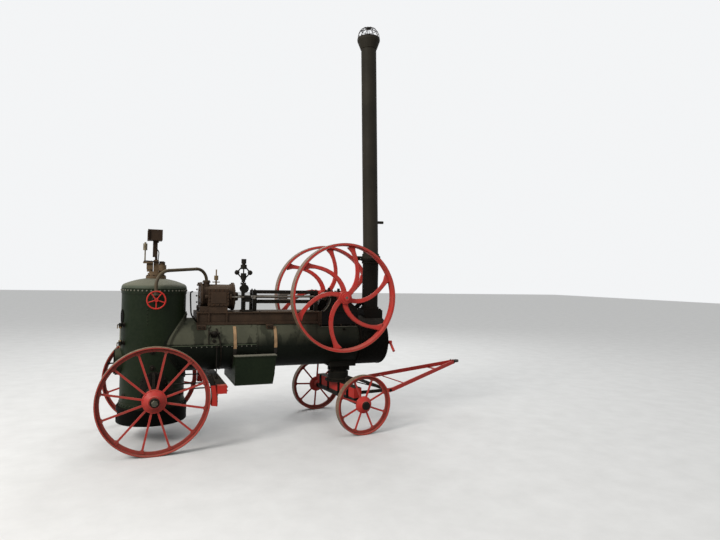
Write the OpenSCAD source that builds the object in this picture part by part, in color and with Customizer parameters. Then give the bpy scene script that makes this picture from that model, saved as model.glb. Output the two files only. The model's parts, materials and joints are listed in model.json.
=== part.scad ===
// Portable steam engine on four wheels, with an upright firebox, a horizontal barrel,
// a single-cylinder engine on top, two flywheels and a chimney that folds back.
// Sizes are in millimetres. Lengths are measured from the rear axle, heights from the ground.
// X runs forward to the drawbar, Y to the left side and Z up.

/* [Boiler] */
// Outside radius of the upright firebox
firebox_r = 398; // [380:1:410]
// Height of the firebox's lower edge
firebox_base_z = 450; // [440:1:480]
// Height of the seam below the domed top
dome_seam_z = 1967; // [1940:1:2000]
// Rise of the domed top above its seam
dome_rise = 133; // [110:1:150]
// Thickness of the firebox wall with its water space
jacket_wall = 70; // [60:1:80]
// Outside radius of the barrel's rear ring
barrel_r = 354; // [345:1:360]
// Height of the barrel's axis
barrel_z = 1214; // [1200:1:1230]
// Thickness of the boiler plates at their laps
plate_t = 7; // [5:0.5:9]
// Distance from the rear axle to the lap of the two barrel rings
lap_x = 1316; // [1280:1:1350]
// Distance from the rear axle to the barrel's front end
barrel_front_x = 2815; // [2800:1:2840]
// Radius of one fire tube's bore
tube_r = 27; // [24:0.5:30]

/* [Fire hole and ashpan] */
// Height of the fire hole's centre
firehole_z = 1010; // [980:1:1040]
// Radius of the fire hole
firehole_r = 120; // [105:1:135]
// Radius of the fire hole's cast ring
firehole_ring_r = 168; // [160:1:175]
// How far the cast ring stands out from the firebox
firehole_ring_out = 58; // [50:1:70]
// Outside radius of the ashpan
ashpan_r = 435; // [425:1:450]
// Height of the ashpan's floor
ashpan_base_z = 250; // [240:1:270]
// Thickness of the ashpan's plates
ashpan_t = 8; // [6:0.5:10]

/* [Smokebox] */
// Outside radius of the smokebox
smokebox_r = 366; // [362:1:372]
// Length of the smokebox
smokebox_len = 458; // [440:1:480]
// Thickness of the smokebox plates
smokebox_t = 10; // [8:0.5:14]
// Radius of the smokebox door
door_r = 292; // [280:1:300]
// Radius of the opening behind the door
door_hole_r = 262; // [250:1:270]

/* [Chimney] */
// Distance from the rear axle to the chimney's axis
chimney_x = 3117; // [3100:1:3130]
// Side of the square chimney base
plinth_w = 300; // [290:1:310]
// Outside radius of the chimney below its hinge
chimney_r = 122; // [118:1:126]
// Outside radius of the folding stack
stack_r = 117; // [113:1:121]
// Thickness of the chimney's plates
chimney_t = 6; // [4:0.5:9]
// Height of the chimney's hinge
fold_z = 2455; // [2440:1:2480]
// Distance from the chimney's axis back to the hinge pin
fold_back = 227; // [220:1:240]
// Radius of the chimney's hinge pin
fold_pin_r = 14; // [12:0.5:16]
// Length of the folding stack up to its collar
stack_len = 3262; // [3240:1:3290]
// Lean of the stack towards the firebox, in degrees
stack_lean = 1.9; // [1:0.1:2.5]
// Angle by which the stack folds back to its crutch, in degrees
fold_angle = 87.1; // [86:0.1:88]
// Radius of the collar at the stack's top
collar_r = 175; // [165:1:185]

/* [Engine] */
// Distance from the rear axle to the engine bed's rear end
bed_rear_x = 520; // [510:1:530]
// Distance from the rear axle to the engine bed's front end
bed_front_x = 2830; // [2820:1:2840]
// Height of the bed's deck above the barrel's axis
bed_rise = 444; // [436:1:450]
// Half the width of the engine bed
bed_half_w = 240; // [236:1:246]
// Height of the bed's side walls
bed_side_h = 170; // [160:1:171]
// Distance from the rear axle to the crankshaft
crank_x = 2518; // [2505:1:2530]
// Height of the crankshaft above the bed's deck
crank_rise = 213; // [205:1:225]
// Throw of the crank
crank_throw = 150; // [140:1:155]
// Radius of the crankshaft
shaft_r = 42; // [38:0.5:45]
// Height of the piston rod above the bed's deck
rod_rise = 202; // [200:1:208]
// Distance from the rear axle to the cylinder's rear face
cylinder_x = 600; // [594:1:606]
// Length of the cylinder between its covers
cylinder_len = 400; // [385:1:410]
// Outside radius of the cylinder
cylinder_r = 165; // [158:1:170]
// Radius of the piston rod
rod_r = 21; // [18:0.5:24]
// Length of the connecting rod between its bearings
conrod_len = 620; // [600:1:640]
// Outside radius of the flywheels
flywheel_r = 776; // [765:1:782]
// Distance from the middle plane to each flywheel
flywheel_y = 457; // [452:1:470]
// Width of the flywheel rims
flywheel_w = 140; // [130:1:146]

/* [Running gear] */
// Radius of the rear wheels
rear_r = 645; // [635:1:655]
// Half the rear track
rear_track = 803; // [795:1:815]
// Width of the rear tyres
rear_tyre_w = 100; // [90:1:110]
// Radius of the front wheels
front_r = 408; // [400:1:412]
// Half the front track
front_track = 795; // [785:1:805]
// Width of the front tyres
front_tyre_w = 90; // [80:1:98]
// Distance from the rear axle to the turntable
wheelbase = 2623; // [2610:1:2640]
// Height of the front beam
beam_h = 167; // [160:1:172]
// Turn of the front carriage at rest, in degrees
steer_rest = 6; // [0:0.5:8]
// Radial gap between an axle and its hub
axle_fit = 0.06; // [0.03:0.01:0.09]

/* [Drawbar] */
// Distance from the turntable's centre to the drawbar's pivot rod
draw_pivot_x = 618; // [600:1:640]
// Height of the drawbar's pivot rod above the front axle
draw_pivot_rise = 92; // [85:1:100]
// Length of the drawbar from its pivot to its eye
draw_len = 1640; // [1600:1:1680]
// Rise of the drawbar at rest, in degrees
draw_rest = 9.5; // [6:0.5:12]
// Radius of the hole in the drawbar's eye
eye_bore_r = 24; // [20:0.5:28]

/* [Tank and brake] */
// Distance from the rear axle to the tank's rear end
tank_x = 1000; // [985:1:1010]
// Length of the tank
tank_len = 550; // [530:1:570]
// Half the width of the tank
tank_half_w = 450; // [440:1:460]
// Height of the tank's floor
tank_base_z = 700; // [690:1:715]
// Height of the tank's sides
tank_h = 390; // [375:1:405]
// Gap between the rear tyre and its brake block
brake_gap = 14; // [10:1:18]

/* [Hidden] */
$fn = 96;
eps = 1;
// Clearance between curved pieces that lie on each other
seat = 0.3;
// Clearance of a moving piece past a fixed one
run = 5;
// Hinge pins of the two doors
door_pin_r = 8;

boiler_green = [0.12, 0.17, 0.14];
dome_green = [0.45, 0.48, 0.42];
soot = [0.07, 0.07, 0.07];
iron = [0.16, 0.15, 0.14];
bed_brown = [0.29, 0.24, 0.20];
red = [0.72, 0.20, 0.18];
steel = [0.45, 0.44, 0.42];
brass = [0.55, 0.45, 0.22];
ochre = [0.59, 0.45, 0.29];
stack_brown = [0.24, 0.21, 0.19];

// Heights and lengths that follow from the driving dimensions
deck_z = barrel_z + bed_rise;
crank_z = deck_z + crank_rise;
rod_z = deck_z + rod_rise;
crown_z = barrel_z + 240;
tube_plate_t = 16;
smokebox_x = barrel_front_x + tube_plate_t;
smokebox_front_x = smokebox_x + smokebox_len;
front_ring_r = barrel_r - plate_t;
// Steel straps that carry the tank
strap_t = 6;
strap_w = 40;
// Height of the smokebox door's straps over and under the barrel's axis
strap_z = 130;
fold_x = chimney_x - fold_back;
plinth_top_z = barrel_z + smokebox_r + 88;

// The dome is a flat sphere with a rounded shoulder
dome_z = dome_seam_z + dome_rise;
shoulder_r = 60;
dome_flat = firebox_r + plate_t - shoulder_r;
dome_r = (dome_flat * dome_flat + dome_rise * dome_rise - shoulder_r * shoulder_r)
    / (2 * (dome_rise - shoulder_r));

// Where the steam pipe comes down on the cylinder, and the shaft of the governor
inlet = [cylinder_x + 54, -60];
inlet_z = rod_z + cylinder_r + 40;
gov_x = cylinder_x + cylinder_len + 140;
gov_y = -130;
// Line of the valve's rod
valve_rod_y = -205;

// The crank lies in line with the connecting rod, at the far end of its stroke
rod_drop = crank_rise - rod_rise;
rod_tilt = asin(rod_drop / (conrod_len + crank_throw));
crosshead_x = crank_x - (conrod_len + crank_throw) * cos(rod_tilt);
crank_pin_r = 36;
big_end_r = 58;

// The rear and front axles
axle_r = 35;
front_axle_r = 27.5;
axle_bar = 30;
beam_z = front_r + axle_bar;
beam_top_z = beam_z + beam_h;
turntable_t = 15;
kingpin_r = 25;
draw_pivot_z = front_r + draw_pivot_rise;
hound_y = 463;
eye_r = 52;
eye_t = 30;
draw_bar_h = 60;
// Length over which the drawbar's bars run straight past the hounds
draw_straight = 60;

// The model stands with its middle over the frame's origin
front_x = wheelbase + (draw_pivot_x + draw_len * cos(draw_rest)) * cos(steer_rest)
    + eye_r * sqrt(pow(cos(draw_rest) * cos(steer_rest), 2) + pow(sin(steer_rest), 2))
    + eye_t / 2 * sin(draw_rest) * cos(steer_rest);
middle_x = (front_x - rear_r) / 2;

// Shared helpers

module at_engine() { translate([-middle_x, 0, 0]) children(); }

// Places a piece on the front carriage, with its axle along local Y
module at_carriage() {
    at_engine() translate([wheelbase, 0, 0]) rotate([0, 0, steer_rest]) children();
}

// A round bar along X, along Y, or upright
module bar_x(r, x0, x1) { translate([x0, 0, 0]) rotate([0, 90, 0]) cylinder(r = r, h = x1 - x0); }
module bar_y(r, y0, y1) { translate([0, y0, 0]) rotate([-90, 0, 0]) cylinder(r = r, h = y1 - y0); }
module bar_z(r, z0, z1) { translate([0, 0, z0]) cylinder(r = r, h = z1 - z0); }

// A block between two corners
module block(low, high) { translate(low) cube(high - low); }

// A body turned around X from an outline of distance along X against radius
module turned_x(outline) {
    rotate([0, 90, 0]) rotate_extrude() polygon([for (p = outline) [p[1], p[0]]]);
}

// A body turned around Y, with the outline's distance running outward to +Y
module turned_y(outline) {
    rotate([-90, 0, 0]) rotate_extrude() polygon([for (p = outline) [p[1], p[0]]]);
}

// A plate drawn in X and Z, with its thickness from y0 to y1
module plate_xz(y0, y1, outline) {
    translate([0, y1, 0]) rotate([90, 0, 0]) linear_extrude(y1 - y0) polygon(outline);
}

// A quarter bend of round pipe from upright to forward, about its own centre
module bend(pipe_r, bend_r, turn = 90) {
    rotate([90, 0, 0]) rotate_extrude(angle = turn) translate([bend_r, 0]) circle(r = pipe_r);
}

function arc(cx, cz, r, a0, a1, n = 8) =
    [for (i = [0:n]) let (a = a0 + (a1 - a0) * i / n) [cx + r * cos(a), cz + r * sin(a)]];

// The firebox's outer surface, and the barrel's and smokebox's, grown by a clearance
module firebox_form(grow = 0) {
    bar_z(firebox_r + grow, firebox_base_z - eps, dome_seam_z);
}
module barrel_form(grow = 0) {
    translate([0, 0, barrel_z]) bar_x(barrel_r + grow, 0, barrel_front_x);
}
module smokebox_form(grow = 0) {
    translate([0, 0, barrel_z]) bar_x(smokebox_r + grow, barrel_front_x - grow, smokebox_front_x + eps);
}
module dome_form(grow = 0) {
    translate([0, 0, dome_z - dome_r]) sphere(r = dome_r + grow);
}

// Boiler

module firebox_shell() {
    ring_x = -firebox_r - firehole_ring_out;
    hinge_y = firehole_ring_r + 22;
    color(boiler_green) at_engine() difference() {
        union() {
            bar_z(firebox_r, firebox_base_z, dome_seam_z);
            bar_z(firebox_r + plate_t, dome_seam_z - 70, dome_seam_z);
            // The cast ring of the fire hole, with two ears for the door's hinge
            translate([0, 0, firehole_z]) bar_x(firehole_ring_r, ring_x, -firebox_r + 60);
            for (s = [-1, 1]) {
                block([ring_x, firehole_ring_r - 60, firehole_z + s * 46 - 9],
                      [ring_x + 30, hinge_y + 12, firehole_z + s * 46 + 9]);
                block([ring_x - 20, firehole_ring_r - 8, firehole_z + s * 46 - 9],
                      [ring_x + eps, hinge_y + 12, firehole_z + s * 46 + 9]);
            }
            // The foundation ring
            bar_z(firebox_r + plate_t, firebox_base_z, firebox_base_z + 60);
        }
        bar_z(firebox_r - jacket_wall, firebox_base_z - eps, crown_z);
        translate([0, 0, firehole_z]) bar_x(firehole_r, ring_x - eps, -firebox_r + jacket_wall + 60);
    }
    color(iron) at_engine() translate([ring_x - 8, hinge_y, firehole_z]) bar_z(door_pin_r, -62, 62);
}

module dome_cap() {
    half = asin(dome_flat / (dome_r - shoulder_r));
    color(dome_green) at_engine() rotate_extrude()
        polygon(concat([[0, dome_seam_z]],
                       arc(dome_flat, dome_seam_z, shoulder_r, 0, 90 - half, 6),
                       arc(0, dome_z - dome_r, dome_r, 90 - half, 90, 10)));
}

module ashpan() {
    inner_r = firebox_r - jacket_wall - 24;
    color(soot) at_engine() difference() {
        bar_z(ashpan_r, ashpan_base_z, firebox_base_z);
        bar_z(ashpan_r - ashpan_t, ashpan_base_z + ashpan_t, firebox_base_z - ashpan_t);
        bar_z(inner_r, firebox_base_z - ashpan_t - eps, firebox_base_z + eps);
        // The draught opening at the rear
        block([-ashpan_r - eps, -130, ashpan_base_z + 40], [-ashpan_r + 60, 130, firebox_base_z - 50]);
    }
}

module grate() {
    grate_r = firebox_r - jacket_wall - 3;
    slot = 22;
    pitch = 44;
    color(iron) at_engine() difference() {
        bar_z(grate_r, firebox_base_z, firebox_base_z + 26);
        for (i = [-6:6]) {
            half = sqrt(pow(grate_r - 26, 2) - pow(i * pitch, 2));
            block([-half, i * pitch - slot / 2, firebox_base_z - eps],
                  [half, i * pitch + slot / 2, firebox_base_z + 26 + eps]);
        }
    }
}

module fire_door() {
    face_x = -firebox_r - firehole_ring_out - 2;
    hinge_y = firehole_ring_r + 22;
    hinge_x = -firebox_r - firehole_ring_out - 8;
    color(soot) at_engine() {
        difference() {
            union() {
                translate([0, 0, firehole_z]) bar_x(firehole_ring_r - 14, face_x - 14, face_x);
                block([face_x - 14, 0, firehole_z - 30], [face_x - 2, hinge_y - 6, firehole_z + 30]);
                translate([hinge_x, hinge_y, 0]) bar_z(door_pin_r + 6, firehole_z - 36, firehole_z + 36);
            }
            translate([hinge_x, hinge_y, 0]) bar_z(door_pin_r + seat, firehole_z - 37, firehole_z + 37);
        }
        // The latch handle
        translate([0, -firehole_ring_r + 50, firehole_z]) bar_x(9, face_x - 60, face_x - 13);
        translate([face_x - 66, -firehole_ring_r + 50, firehole_z]) rotate([0, 0, 180]) sphere(r = 18);
    }
}

module barrel() {
    // Half width and half height of the oval throat flange
    flange = [barrel_r + 18, barrel_r + 86];
    color(boiler_green) at_engine() difference() {
        union() {
            translate([0, 0, barrel_z]) bar_x(barrel_r, 0, lap_x);
            translate([0, 0, barrel_z]) bar_x(front_ring_r, lap_x - eps, barrel_front_x);
            // The riveted throat flange that lies on the firebox
            intersection() {
                translate([0, 0, barrel_z]) rotate([90, 0, 90]) linear_extrude(firebox_r + 40)
                    polygon([for (a = [0:6:354]) [flange[0] * cos(a), flange[1] * sin(a)]]);
                bar_z(firebox_r + 2 * plate_t, firebox_base_z, dome_seam_z - 80, $fn = 288);
            }
        }
        firebox_form(seat, $fn = 288);
        translate([0, 0, barrel_z]) bar_x(front_ring_r - 30, barrel_front_x - 120, barrel_front_x + eps);
    }
}

module tube_plate() {
    pitch = 78;
    rows = 3;
    color(soot) at_engine() difference() {
        translate([0, 0, barrel_z]) bar_x(smokebox_r, barrel_front_x, smokebox_x);
        for (row = [-rows:rows], i = [-rows:rows]) {
            y = (i + abs(row % 2) / 2) * pitch;
            z = row * pitch * sqrt(3) / 2;
            if (norm([y, z]) < 3.1 * pitch)
                translate([0, y, barrel_z + z]) bar_x(tube_r, barrel_front_x - eps, smokebox_x + eps);
        }
    }
}

module smokebox() {
    edge = 34;
    inner_r = smokebox_r - smokebox_t;
    ears_y = door_r + 22;
    color(soot) at_engine() {
        translate([smokebox_x, 0, barrel_z]) difference() {
            union() {
                turned_x(concat(
                    [[0, inner_r], [0, smokebox_r]],
                    arc(smokebox_len - edge, smokebox_r - edge, edge, 90, 0),
                    [[smokebox_len, door_hole_r], [smokebox_len - smokebox_t, door_hole_r],
                     [smokebox_len - smokebox_t, inner_r - edge + smokebox_t]],
                    arc(smokebox_len - edge, smokebox_r - edge, edge - smokebox_t, 0, 90)));
                // Ears for the door's hinge
                for (s = [-1, 1], e = [-1, 1])
                    block([smokebox_len - 6, ears_y - 14, s * strap_z + e * 34 - 8],
                          [smokebox_len + 36, ears_y + 14, s * strap_z + e * 34 + 8]);
            }
            translate([chimney_x - smokebox_x, 0, 0]) bar_z(chimney_r - chimney_t, 0, smokebox_r + eps);
        }
        for (s = [-1, 1]) translate([smokebox_front_x + 22, ears_y, barrel_z + s * strap_z])
            bar_z(door_pin_r, -48, 48);
    }
}

module smokebox_door() {
    face_x = smokebox_front_x + 2;
    hinge_x = smokebox_front_x + 22;
    hinge_y = door_r + 22;
    color(soot) at_engine() translate([0, 0, barrel_z]) {
        difference() {
            union() {
                translate([face_x, 0, 0]) turned_x(concat(
                    [[0, 0], [0, door_r], [14, door_r], [14, door_r - 26]],
                    arc(14 - 700, 0, 740, asin((door_r - 40) / 740), 0)));
                for (s = [-1, 1]) {
                    block([face_x + 10, 90, s * strap_z - 24], [face_x + 26, hinge_y, s * strap_z + 24]);
                    translate([hinge_x, hinge_y, s * strap_z]) bar_z(door_pin_r + 7, -25, 25);
                }
            }
            for (s = [-1, 1]) translate([hinge_x, hinge_y, s * strap_z]) bar_z(door_pin_r + seat, -26, 26);
        }
    }
}

// Chimney

module chimney_base() {
    flange_r = 150;
    flange_t = 34;
    color(soot) at_engine() difference() {
        union() {
            translate([chimney_x, 0, 0]) {
                block([-plinth_w / 2, -plinth_w / 2, barrel_z], [plinth_w / 2, plinth_w / 2, plinth_top_z]);
                block([-plinth_w / 2 + 22, -plinth_w / 2 + 22, plinth_top_z - eps],
                      [plinth_w / 2 - 22, plinth_w / 2 - 22, plinth_top_z + 22]);
                bar_z(chimney_r + 16, plinth_top_z, plinth_top_z + 46);
                bar_z(chimney_r, plinth_top_z, fold_z);
                bar_z(flange_r, fold_z - flange_t, fold_z);
                bar_z(chimney_r + 14, fold_z - flange_t - 42, fold_z);
            }
            for (s = [-1, 1]) {
                translate([fold_x, s * 38, fold_z]) bar_y(30, -12, 12);
                block([fold_x, s * 38 - 12, fold_z - 30],
                      [chimney_x - flange_r + 30, s * 38 + 12, fold_z - 4]);
            }
        }
        smokebox_form(seat);
        translate([chimney_x, 0, 0]) bar_z(chimney_r - chimney_t, barrel_z, fold_z + eps);
        translate([fold_x, 0, fold_z]) bar_y(fold_pin_r, -60, 60);
    }
}

// Places a piece on the stack, with Z along its leaning tube
module at_stack() {
    at_engine() translate([chimney_x, 0, fold_z]) rotate([0, -stack_lean, 0]) children();
}

module chimney_stack() {
    flange_r = 150;
    flange_t = 34;
    bore_r = stack_r - chimney_t;
    color(stack_brown) difference() {
        union() {
            at_engine() {
                translate([chimney_x, 0, 0]) bar_z(flange_r, fold_z + seat, fold_z + flange_t);
                block([fold_x, -20, fold_z + seat], [chimney_x - flange_r + 30, 20, fold_z + flange_t]);
                translate([fold_x, 0, fold_z]) bar_y(30, -20, 20);
            }
            at_stack() {
                bar_z(stack_r, flange_t / 2, stack_len);
                bar_z(stack_r + 14, flange_t / 2, flange_t + 42);
                // Small stub bracket on the front of the stack
                translate([0, 0, 565]) bar_x(22, 0, stack_r + 100);
                // Dished collar
                translate([0, 0, stack_len]) rotate_extrude() polygon([
                    [bore_r - 4, -20], [stack_r + 8, -20], [collar_r, 110], [collar_r, 140],
                    [collar_r - 14, 140], [collar_r - 20, 118], [bore_r - 4, 6]]);
            }
        }
        at_stack() bar_z(bore_r, -40, stack_len + 200);
        at_engine() translate([fold_x, 0, fold_z]) bar_y(fold_pin_r + seat, -21, 21);
    }
}

module spark_arrestor() {
    wires = 8;
    wire = 8;
    foot_r = collar_r - wire;
    color(iron) at_stack() translate([0, 0, stack_len + 140]) {
        difference() { bar_z(foot_r + wire, 0, wire); bar_z(foot_r - wire, -eps, wire + eps); }
        for (i = [0:wires - 1]) rotate([90, 0, i * 360 / wires])
            rotate_extrude(angle = 82) translate([foot_r - wire / 2, -wire / 2]) square(wire);
        bar_z(32, foot_r - 16, foot_r + wire);
    }
}

// Fittings on the boiler

module safety_valve() {
    base_x = 12;
    color(bed_brown) at_engine() difference() {
        union() {
            // The manhole's frame and its cover, with the two valves and the lever's post on it
            translate([base_x, 0, 0]) {
                bar_z(126, dome_seam_z + 40, dome_z + 26);
                bar_z(104, dome_z + 20, dome_z + 66);
                bar_z(88, dome_z + 60, dome_z + 84);
            }
            translate([-66, 0, 0]) {
                bar_z(38, dome_z + 80, dome_z + 192);
                block([-42, -42, dome_z + 110], [36, 42, dome_z + 190]);
            }
            block([-152, -68, dome_z + 190], [-30, 68, dome_z + 210]);
            block([-22, -36, dome_z + 80], [40, 36, dome_z + 238]);
            translate([82, 0, 0]) {
                bar_z(40, dome_z + 60, dome_z + 198);
                bar_z(56, dome_z + 96, dome_z + 172);
                bar_z(26, dome_z + 190, dome_z + 222);
            }
        }
        dome_form(seat);
    }
}

module chimney_crutch() {
    inner = stack_r + 12;
    plate = 14;
    rest_gap = 8;
    rear = -90;
    front = 76;
    // The underside of the folded stack above the crutch's front edge
    lie = fold_angle + stack_lean;
    reach = (fold_x + fold_back * cos(fold_angle) - stack_r * cos(lie) - front) / sin(lie);
    rest_z = fold_z + fold_back * sin(fold_angle) + reach * cos(lie) - stack_r * sin(lie);
    base_z = rest_z - rest_gap - plate;
    color(bed_brown) at_engine() {
        translate([7, 0, 0]) bar_z(16, dome_z + 238, base_z + 2);
        translate([7, 0, 0]) bar_z(30, base_z - 26, base_z + 2);
        block([rear, -inner - plate, base_z], [front, inner + plate, base_z + plate]);
        for (s = [-1, 1]) scale([1, s, 1]) {
            block([rear, inner, base_z + plate - eps], [front, inner + plate, base_z + 140]);
            block([rear - 14, inner, base_z], [rear + eps, inner + 34, base_z + 140]);
        }
    }
}

module whistle() {
    color(brass) at_engine() translate([-130, 0, 0]) {
        bar_z(9, dome_z + 210, dome_z + 365);
        bar_z(26, dome_z + 362, dome_z + 450);
        bar_z(12, dome_z + 449, dome_z + 468);
    }
}

module water_gauge() {
    turn = 207;
    color(brass) at_engine() rotate([0, 0, turn]) {
        difference() {
            for (z = [1270, 1500]) {
                translate([0, 0, z]) bar_x(15, firebox_r - 20, firebox_r + 62);
                translate([0, 0, z]) bar_x(28, firebox_r - 20, firebox_r + 12);
                translate([firebox_r + 50, 0, z]) bar_z(20, -26, 26);
                translate([firebox_r + 50, 0, z]) bar_y(8, -60, 0);
            }
            firebox_form(seat);
        }
        translate([firebox_r + 50, 0, 0]) bar_z(9, 1270 + 25, 1500 - 25);
    }
}

module stop_valve() {
    valve_z = 1836;
    wheel_y = -650;
    color(iron) at_engine() difference() {
        translate([0, 0, valve_z]) {
            bar_y(24, -620, -firebox_r + 20);
            bar_y(52, -firebox_r - 16, -firebox_r + 20);
            bar_y(30, -540, -430);
            translate([0, -470, 0]) sphere(r = 50);
            bar_y(10, wheel_y - 10, -600);
            bar_y(36, -545, -520);
        }
        firebox_form(seat);
    }
    color(red) at_engine() translate([0, wheel_y, valve_z]) {
        difference() { bar_y(22, -12, 12); bar_y(10, -13, 13); }
        rotate([90, 0, 0]) rotate_extrude() translate([106, 0]) circle(r = 9, $fn = 32);
        for (i = [0:4]) rotate([0, i * 72 + 18, 0]) bar_x(7, 18, 106);
    }
}

module steam_pipe() {
    pipe_r = 21;
    sleeve = [pipe_r + 1.5, 6];
    foot_z = 1886;
    rise_z = 2010;
    rise_r = 190;
    drop_r = 160;
    // The middle stretch climbs towards the cylinder by this angle
    climb = 4;
    start = [0, -470];
    path = inlet - start;
    span = norm(path);
    middle = (span - drop_r - rise_r + (rise_r - drop_r) * sin(climb)) / cos(climb);
    drop_z = rise_z + middle * sin(climb) + (rise_r - drop_r) * cos(climb);
    color(iron) at_engine() translate([start[0], start[1], 0]) rotate([0, 0, atan2(path[1], path[0])]) {
        bar_z(50, foot_z, foot_z + 18);
        bar_z(pipe_r, foot_z + 10, rise_z);
        bar_z(sleeve[0], rise_z - sleeve[1], rise_z + sleeve[1]);
        translate([rise_r, 0, rise_z]) {
            mirror([1, 0, 0]) bend(pipe_r, rise_r, 90 - climb);
            rotate([0, -climb, 0]) {
                translate([0, 0, rise_r]) {
                    bar_x(pipe_r, 0, middle);
                    for (x = [0, middle]) bar_x(sleeve[0], x - sleeve[1], x + sleeve[1]);
                }
                translate([middle, 0, rise_r - drop_r]) rotate([0, climb, 0])
                    bend(pipe_r, drop_r, 90 + climb);
            }
        }
        translate([span, 0, 0]) {
            bar_z(pipe_r, inlet_z, drop_z);
            bar_z(sleeve[0], max(inlet_z, drop_z - sleeve[1]), drop_z + sleeve[1]);
            bar_z(46, inlet_z, inlet_z + 16);
        }
    }
}

module exhaust_pipe() {
    pipe_r = 34;
    start = [bed_front_x + 14, deck_z - 6];
    end = [chimney_x - chimney_r - seat, deck_z + 150];
    angle = atan2(end[1] - start[1], end[0] - start[0]);
    color(soot) at_engine() difference() {
        translate([start[0], 0, start[1]]) rotate([0, -angle, 0]) bar_x(pipe_r, 0, norm(end - start) + 30);
        translate([chimney_x, 0, 0]) bar_z(chimney_r + seat, deck_z, fold_z);
        smokebox_form(seat);
    }
}

// Engine

module engine_bed() {
    web_y = bed_half_w - 34;
    web_t = 14;
    edge_t = 16;
    low_z = deck_z - bed_side_h;
    // Front end and rear end of each foot, and of the saddle under the crankshaft
    feet = [[bed_rear_x, bed_rear_x + 116], [bed_rear_x + 923, bed_rear_x + 1017]];
    saddle = [crank_x - 310, bed_front_x - 24];
    ribs = [cylinder_x + 76, cylinder_x + 311, crank_x - 310];
    color(bed_brown) at_engine() difference() {
        union() {
            for (s = [-1, 1]) scale([1, s, 1]) {
                block([bed_rear_x, web_y, low_z], [bed_front_x, web_y + web_t, deck_z]);
                block([bed_rear_x, web_y - 16, deck_z - edge_t], [bed_front_x, bed_half_w, deck_z]);
                block([bed_rear_x, web_y - 16, low_z], [bed_front_x, bed_half_w, low_z + 2 * edge_t]);
                for (x = ribs) block([x - 8, web_y, low_z], [x + 8, bed_half_w - 2, deck_z]);
                for (f = feet) block([f[0], 150, barrel_z + 216], [f[1], bed_half_w + 52, low_z + eps]);
                block([saddle[0], 120, barrel_z + 216], [saddle[1], bed_half_w + 14, low_z + eps]);
                block([saddle[0], web_y, low_z], [saddle[1], bed_half_w - 10, deck_z]);
            }
            for (x = [bed_rear_x, bed_front_x - edge_t])
                block([x, -bed_half_w, low_z], [x + edge_t, bed_half_w, deck_z]);
            block([bed_rear_x, -bed_half_w, deck_z - edge_t],
                  [crank_x - crank_throw - 110, bed_half_w, deck_z]);
        }
        barrel_form(seat);
        smokebox_form(seat);
    }
}

module cylinder_block() {
    cover_t = 28;
    cover_r = cylinder_r + 28;
    translate([cylinder_x, 0, rod_z]) turned_x([
        [-cover_t, 0], [-cover_t, cover_r], [0, cover_r], [0, cylinder_r],
        [cylinder_len, cylinder_r], [cylinder_len, cover_r], [cylinder_len + cover_t, cover_r],
        [cylinder_len + cover_t, 70], [cylinder_len + cover_t + 60, 56], [cylinder_len + cover_t + 60, 0]]);
}

module engine_cylinder() {
    base_z = rod_z - 110;
    foot_y = bed_half_w - 4;
    gland_x = cylinder_x + cylinder_len;
    color(bed_brown) at_engine() difference() {
        union() {
            cylinder_block();
            // The cylinder's foot on the bed, the jacket's bands and the boss of the steam inlet
            block([cylinder_x - 40, -foot_y + 10, deck_z], [cylinder_x + 80, foot_y - 10, base_z - 20]);
            block([cylinder_x + 68, -foot_y, deck_z], [cylinder_x + 319, foot_y, base_z]);
            for (x = [cylinder_x, cylinder_x + cylinder_len - 24])
                translate([0, 0, rod_z]) bar_x(cylinder_r + 9, x, x + 24);
            translate([inlet[0], inlet[1], 0]) bar_z(42, rod_z + 100, inlet_z);
            translate([inlet[0], inlet[1], 0]) bar_z(54, inlet_z - 16, inlet_z);
        }
        translate([0, 0, rod_z]) bar_x(rod_r + seat, gland_x, gland_x + 100);
    }
}

module valve_chest() {
    chest_x = cylinder_x + 58;
    chest_len = 272;
    chest_y = bed_half_w + 10;
    low_z = rod_z - 110;
    color(bed_brown) at_engine() {
        difference() {
            union() {
                block([chest_x + 8, -chest_y + 13, low_z], [chest_x + chest_len - 8, -60, rod_z + 112]);
                // The cover with its raised middle
                block([chest_x, -chest_y, rod_z - 119], [chest_x + chest_len, -chest_y + 14, rod_z + 107]);
                block([chest_x + 34, -chest_y - 7, rod_z - 85],
                      [chest_x + chest_len - 34, -chest_y + 1, rod_z + 73]);
                // The gland and the tail of the valve's rod
                translate([0, valve_rod_y, rod_z]) {
                    bar_x(34, chest_x + chest_len - 9, chest_x + chest_len + 26);
                    bar_x(44, chest_x + chest_len + 18, chest_x + chest_len + 34);
                    bar_x(26, chest_x - 34, chest_x + 9);
                }
            }
            translate([0, 0, rod_z]) bar_x(cylinder_r + 9 + seat, cylinder_x - 1, cylinder_x + cylinder_len);
        }
    }
}

module lubricator() {
    cup_z = rod_z + cylinder_r;
    color(brass) at_engine() difference() {
        translate([cylinder_x + 190, 0, 0]) {
            bar_z(12, cup_z - 10, cup_z + 60);
            bar_z(28, cup_z + 58, cup_z + 122);
            bar_z(9, cup_z + 121, cup_z + 206);
            translate([0, 0, cup_z + 32]) bar_x(7, -50, 50);
        }
        translate([0, 0, rod_z]) bar_x(cylinder_r + seat, cylinder_x, cylinder_x + cylinder_len);
    }
}

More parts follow.
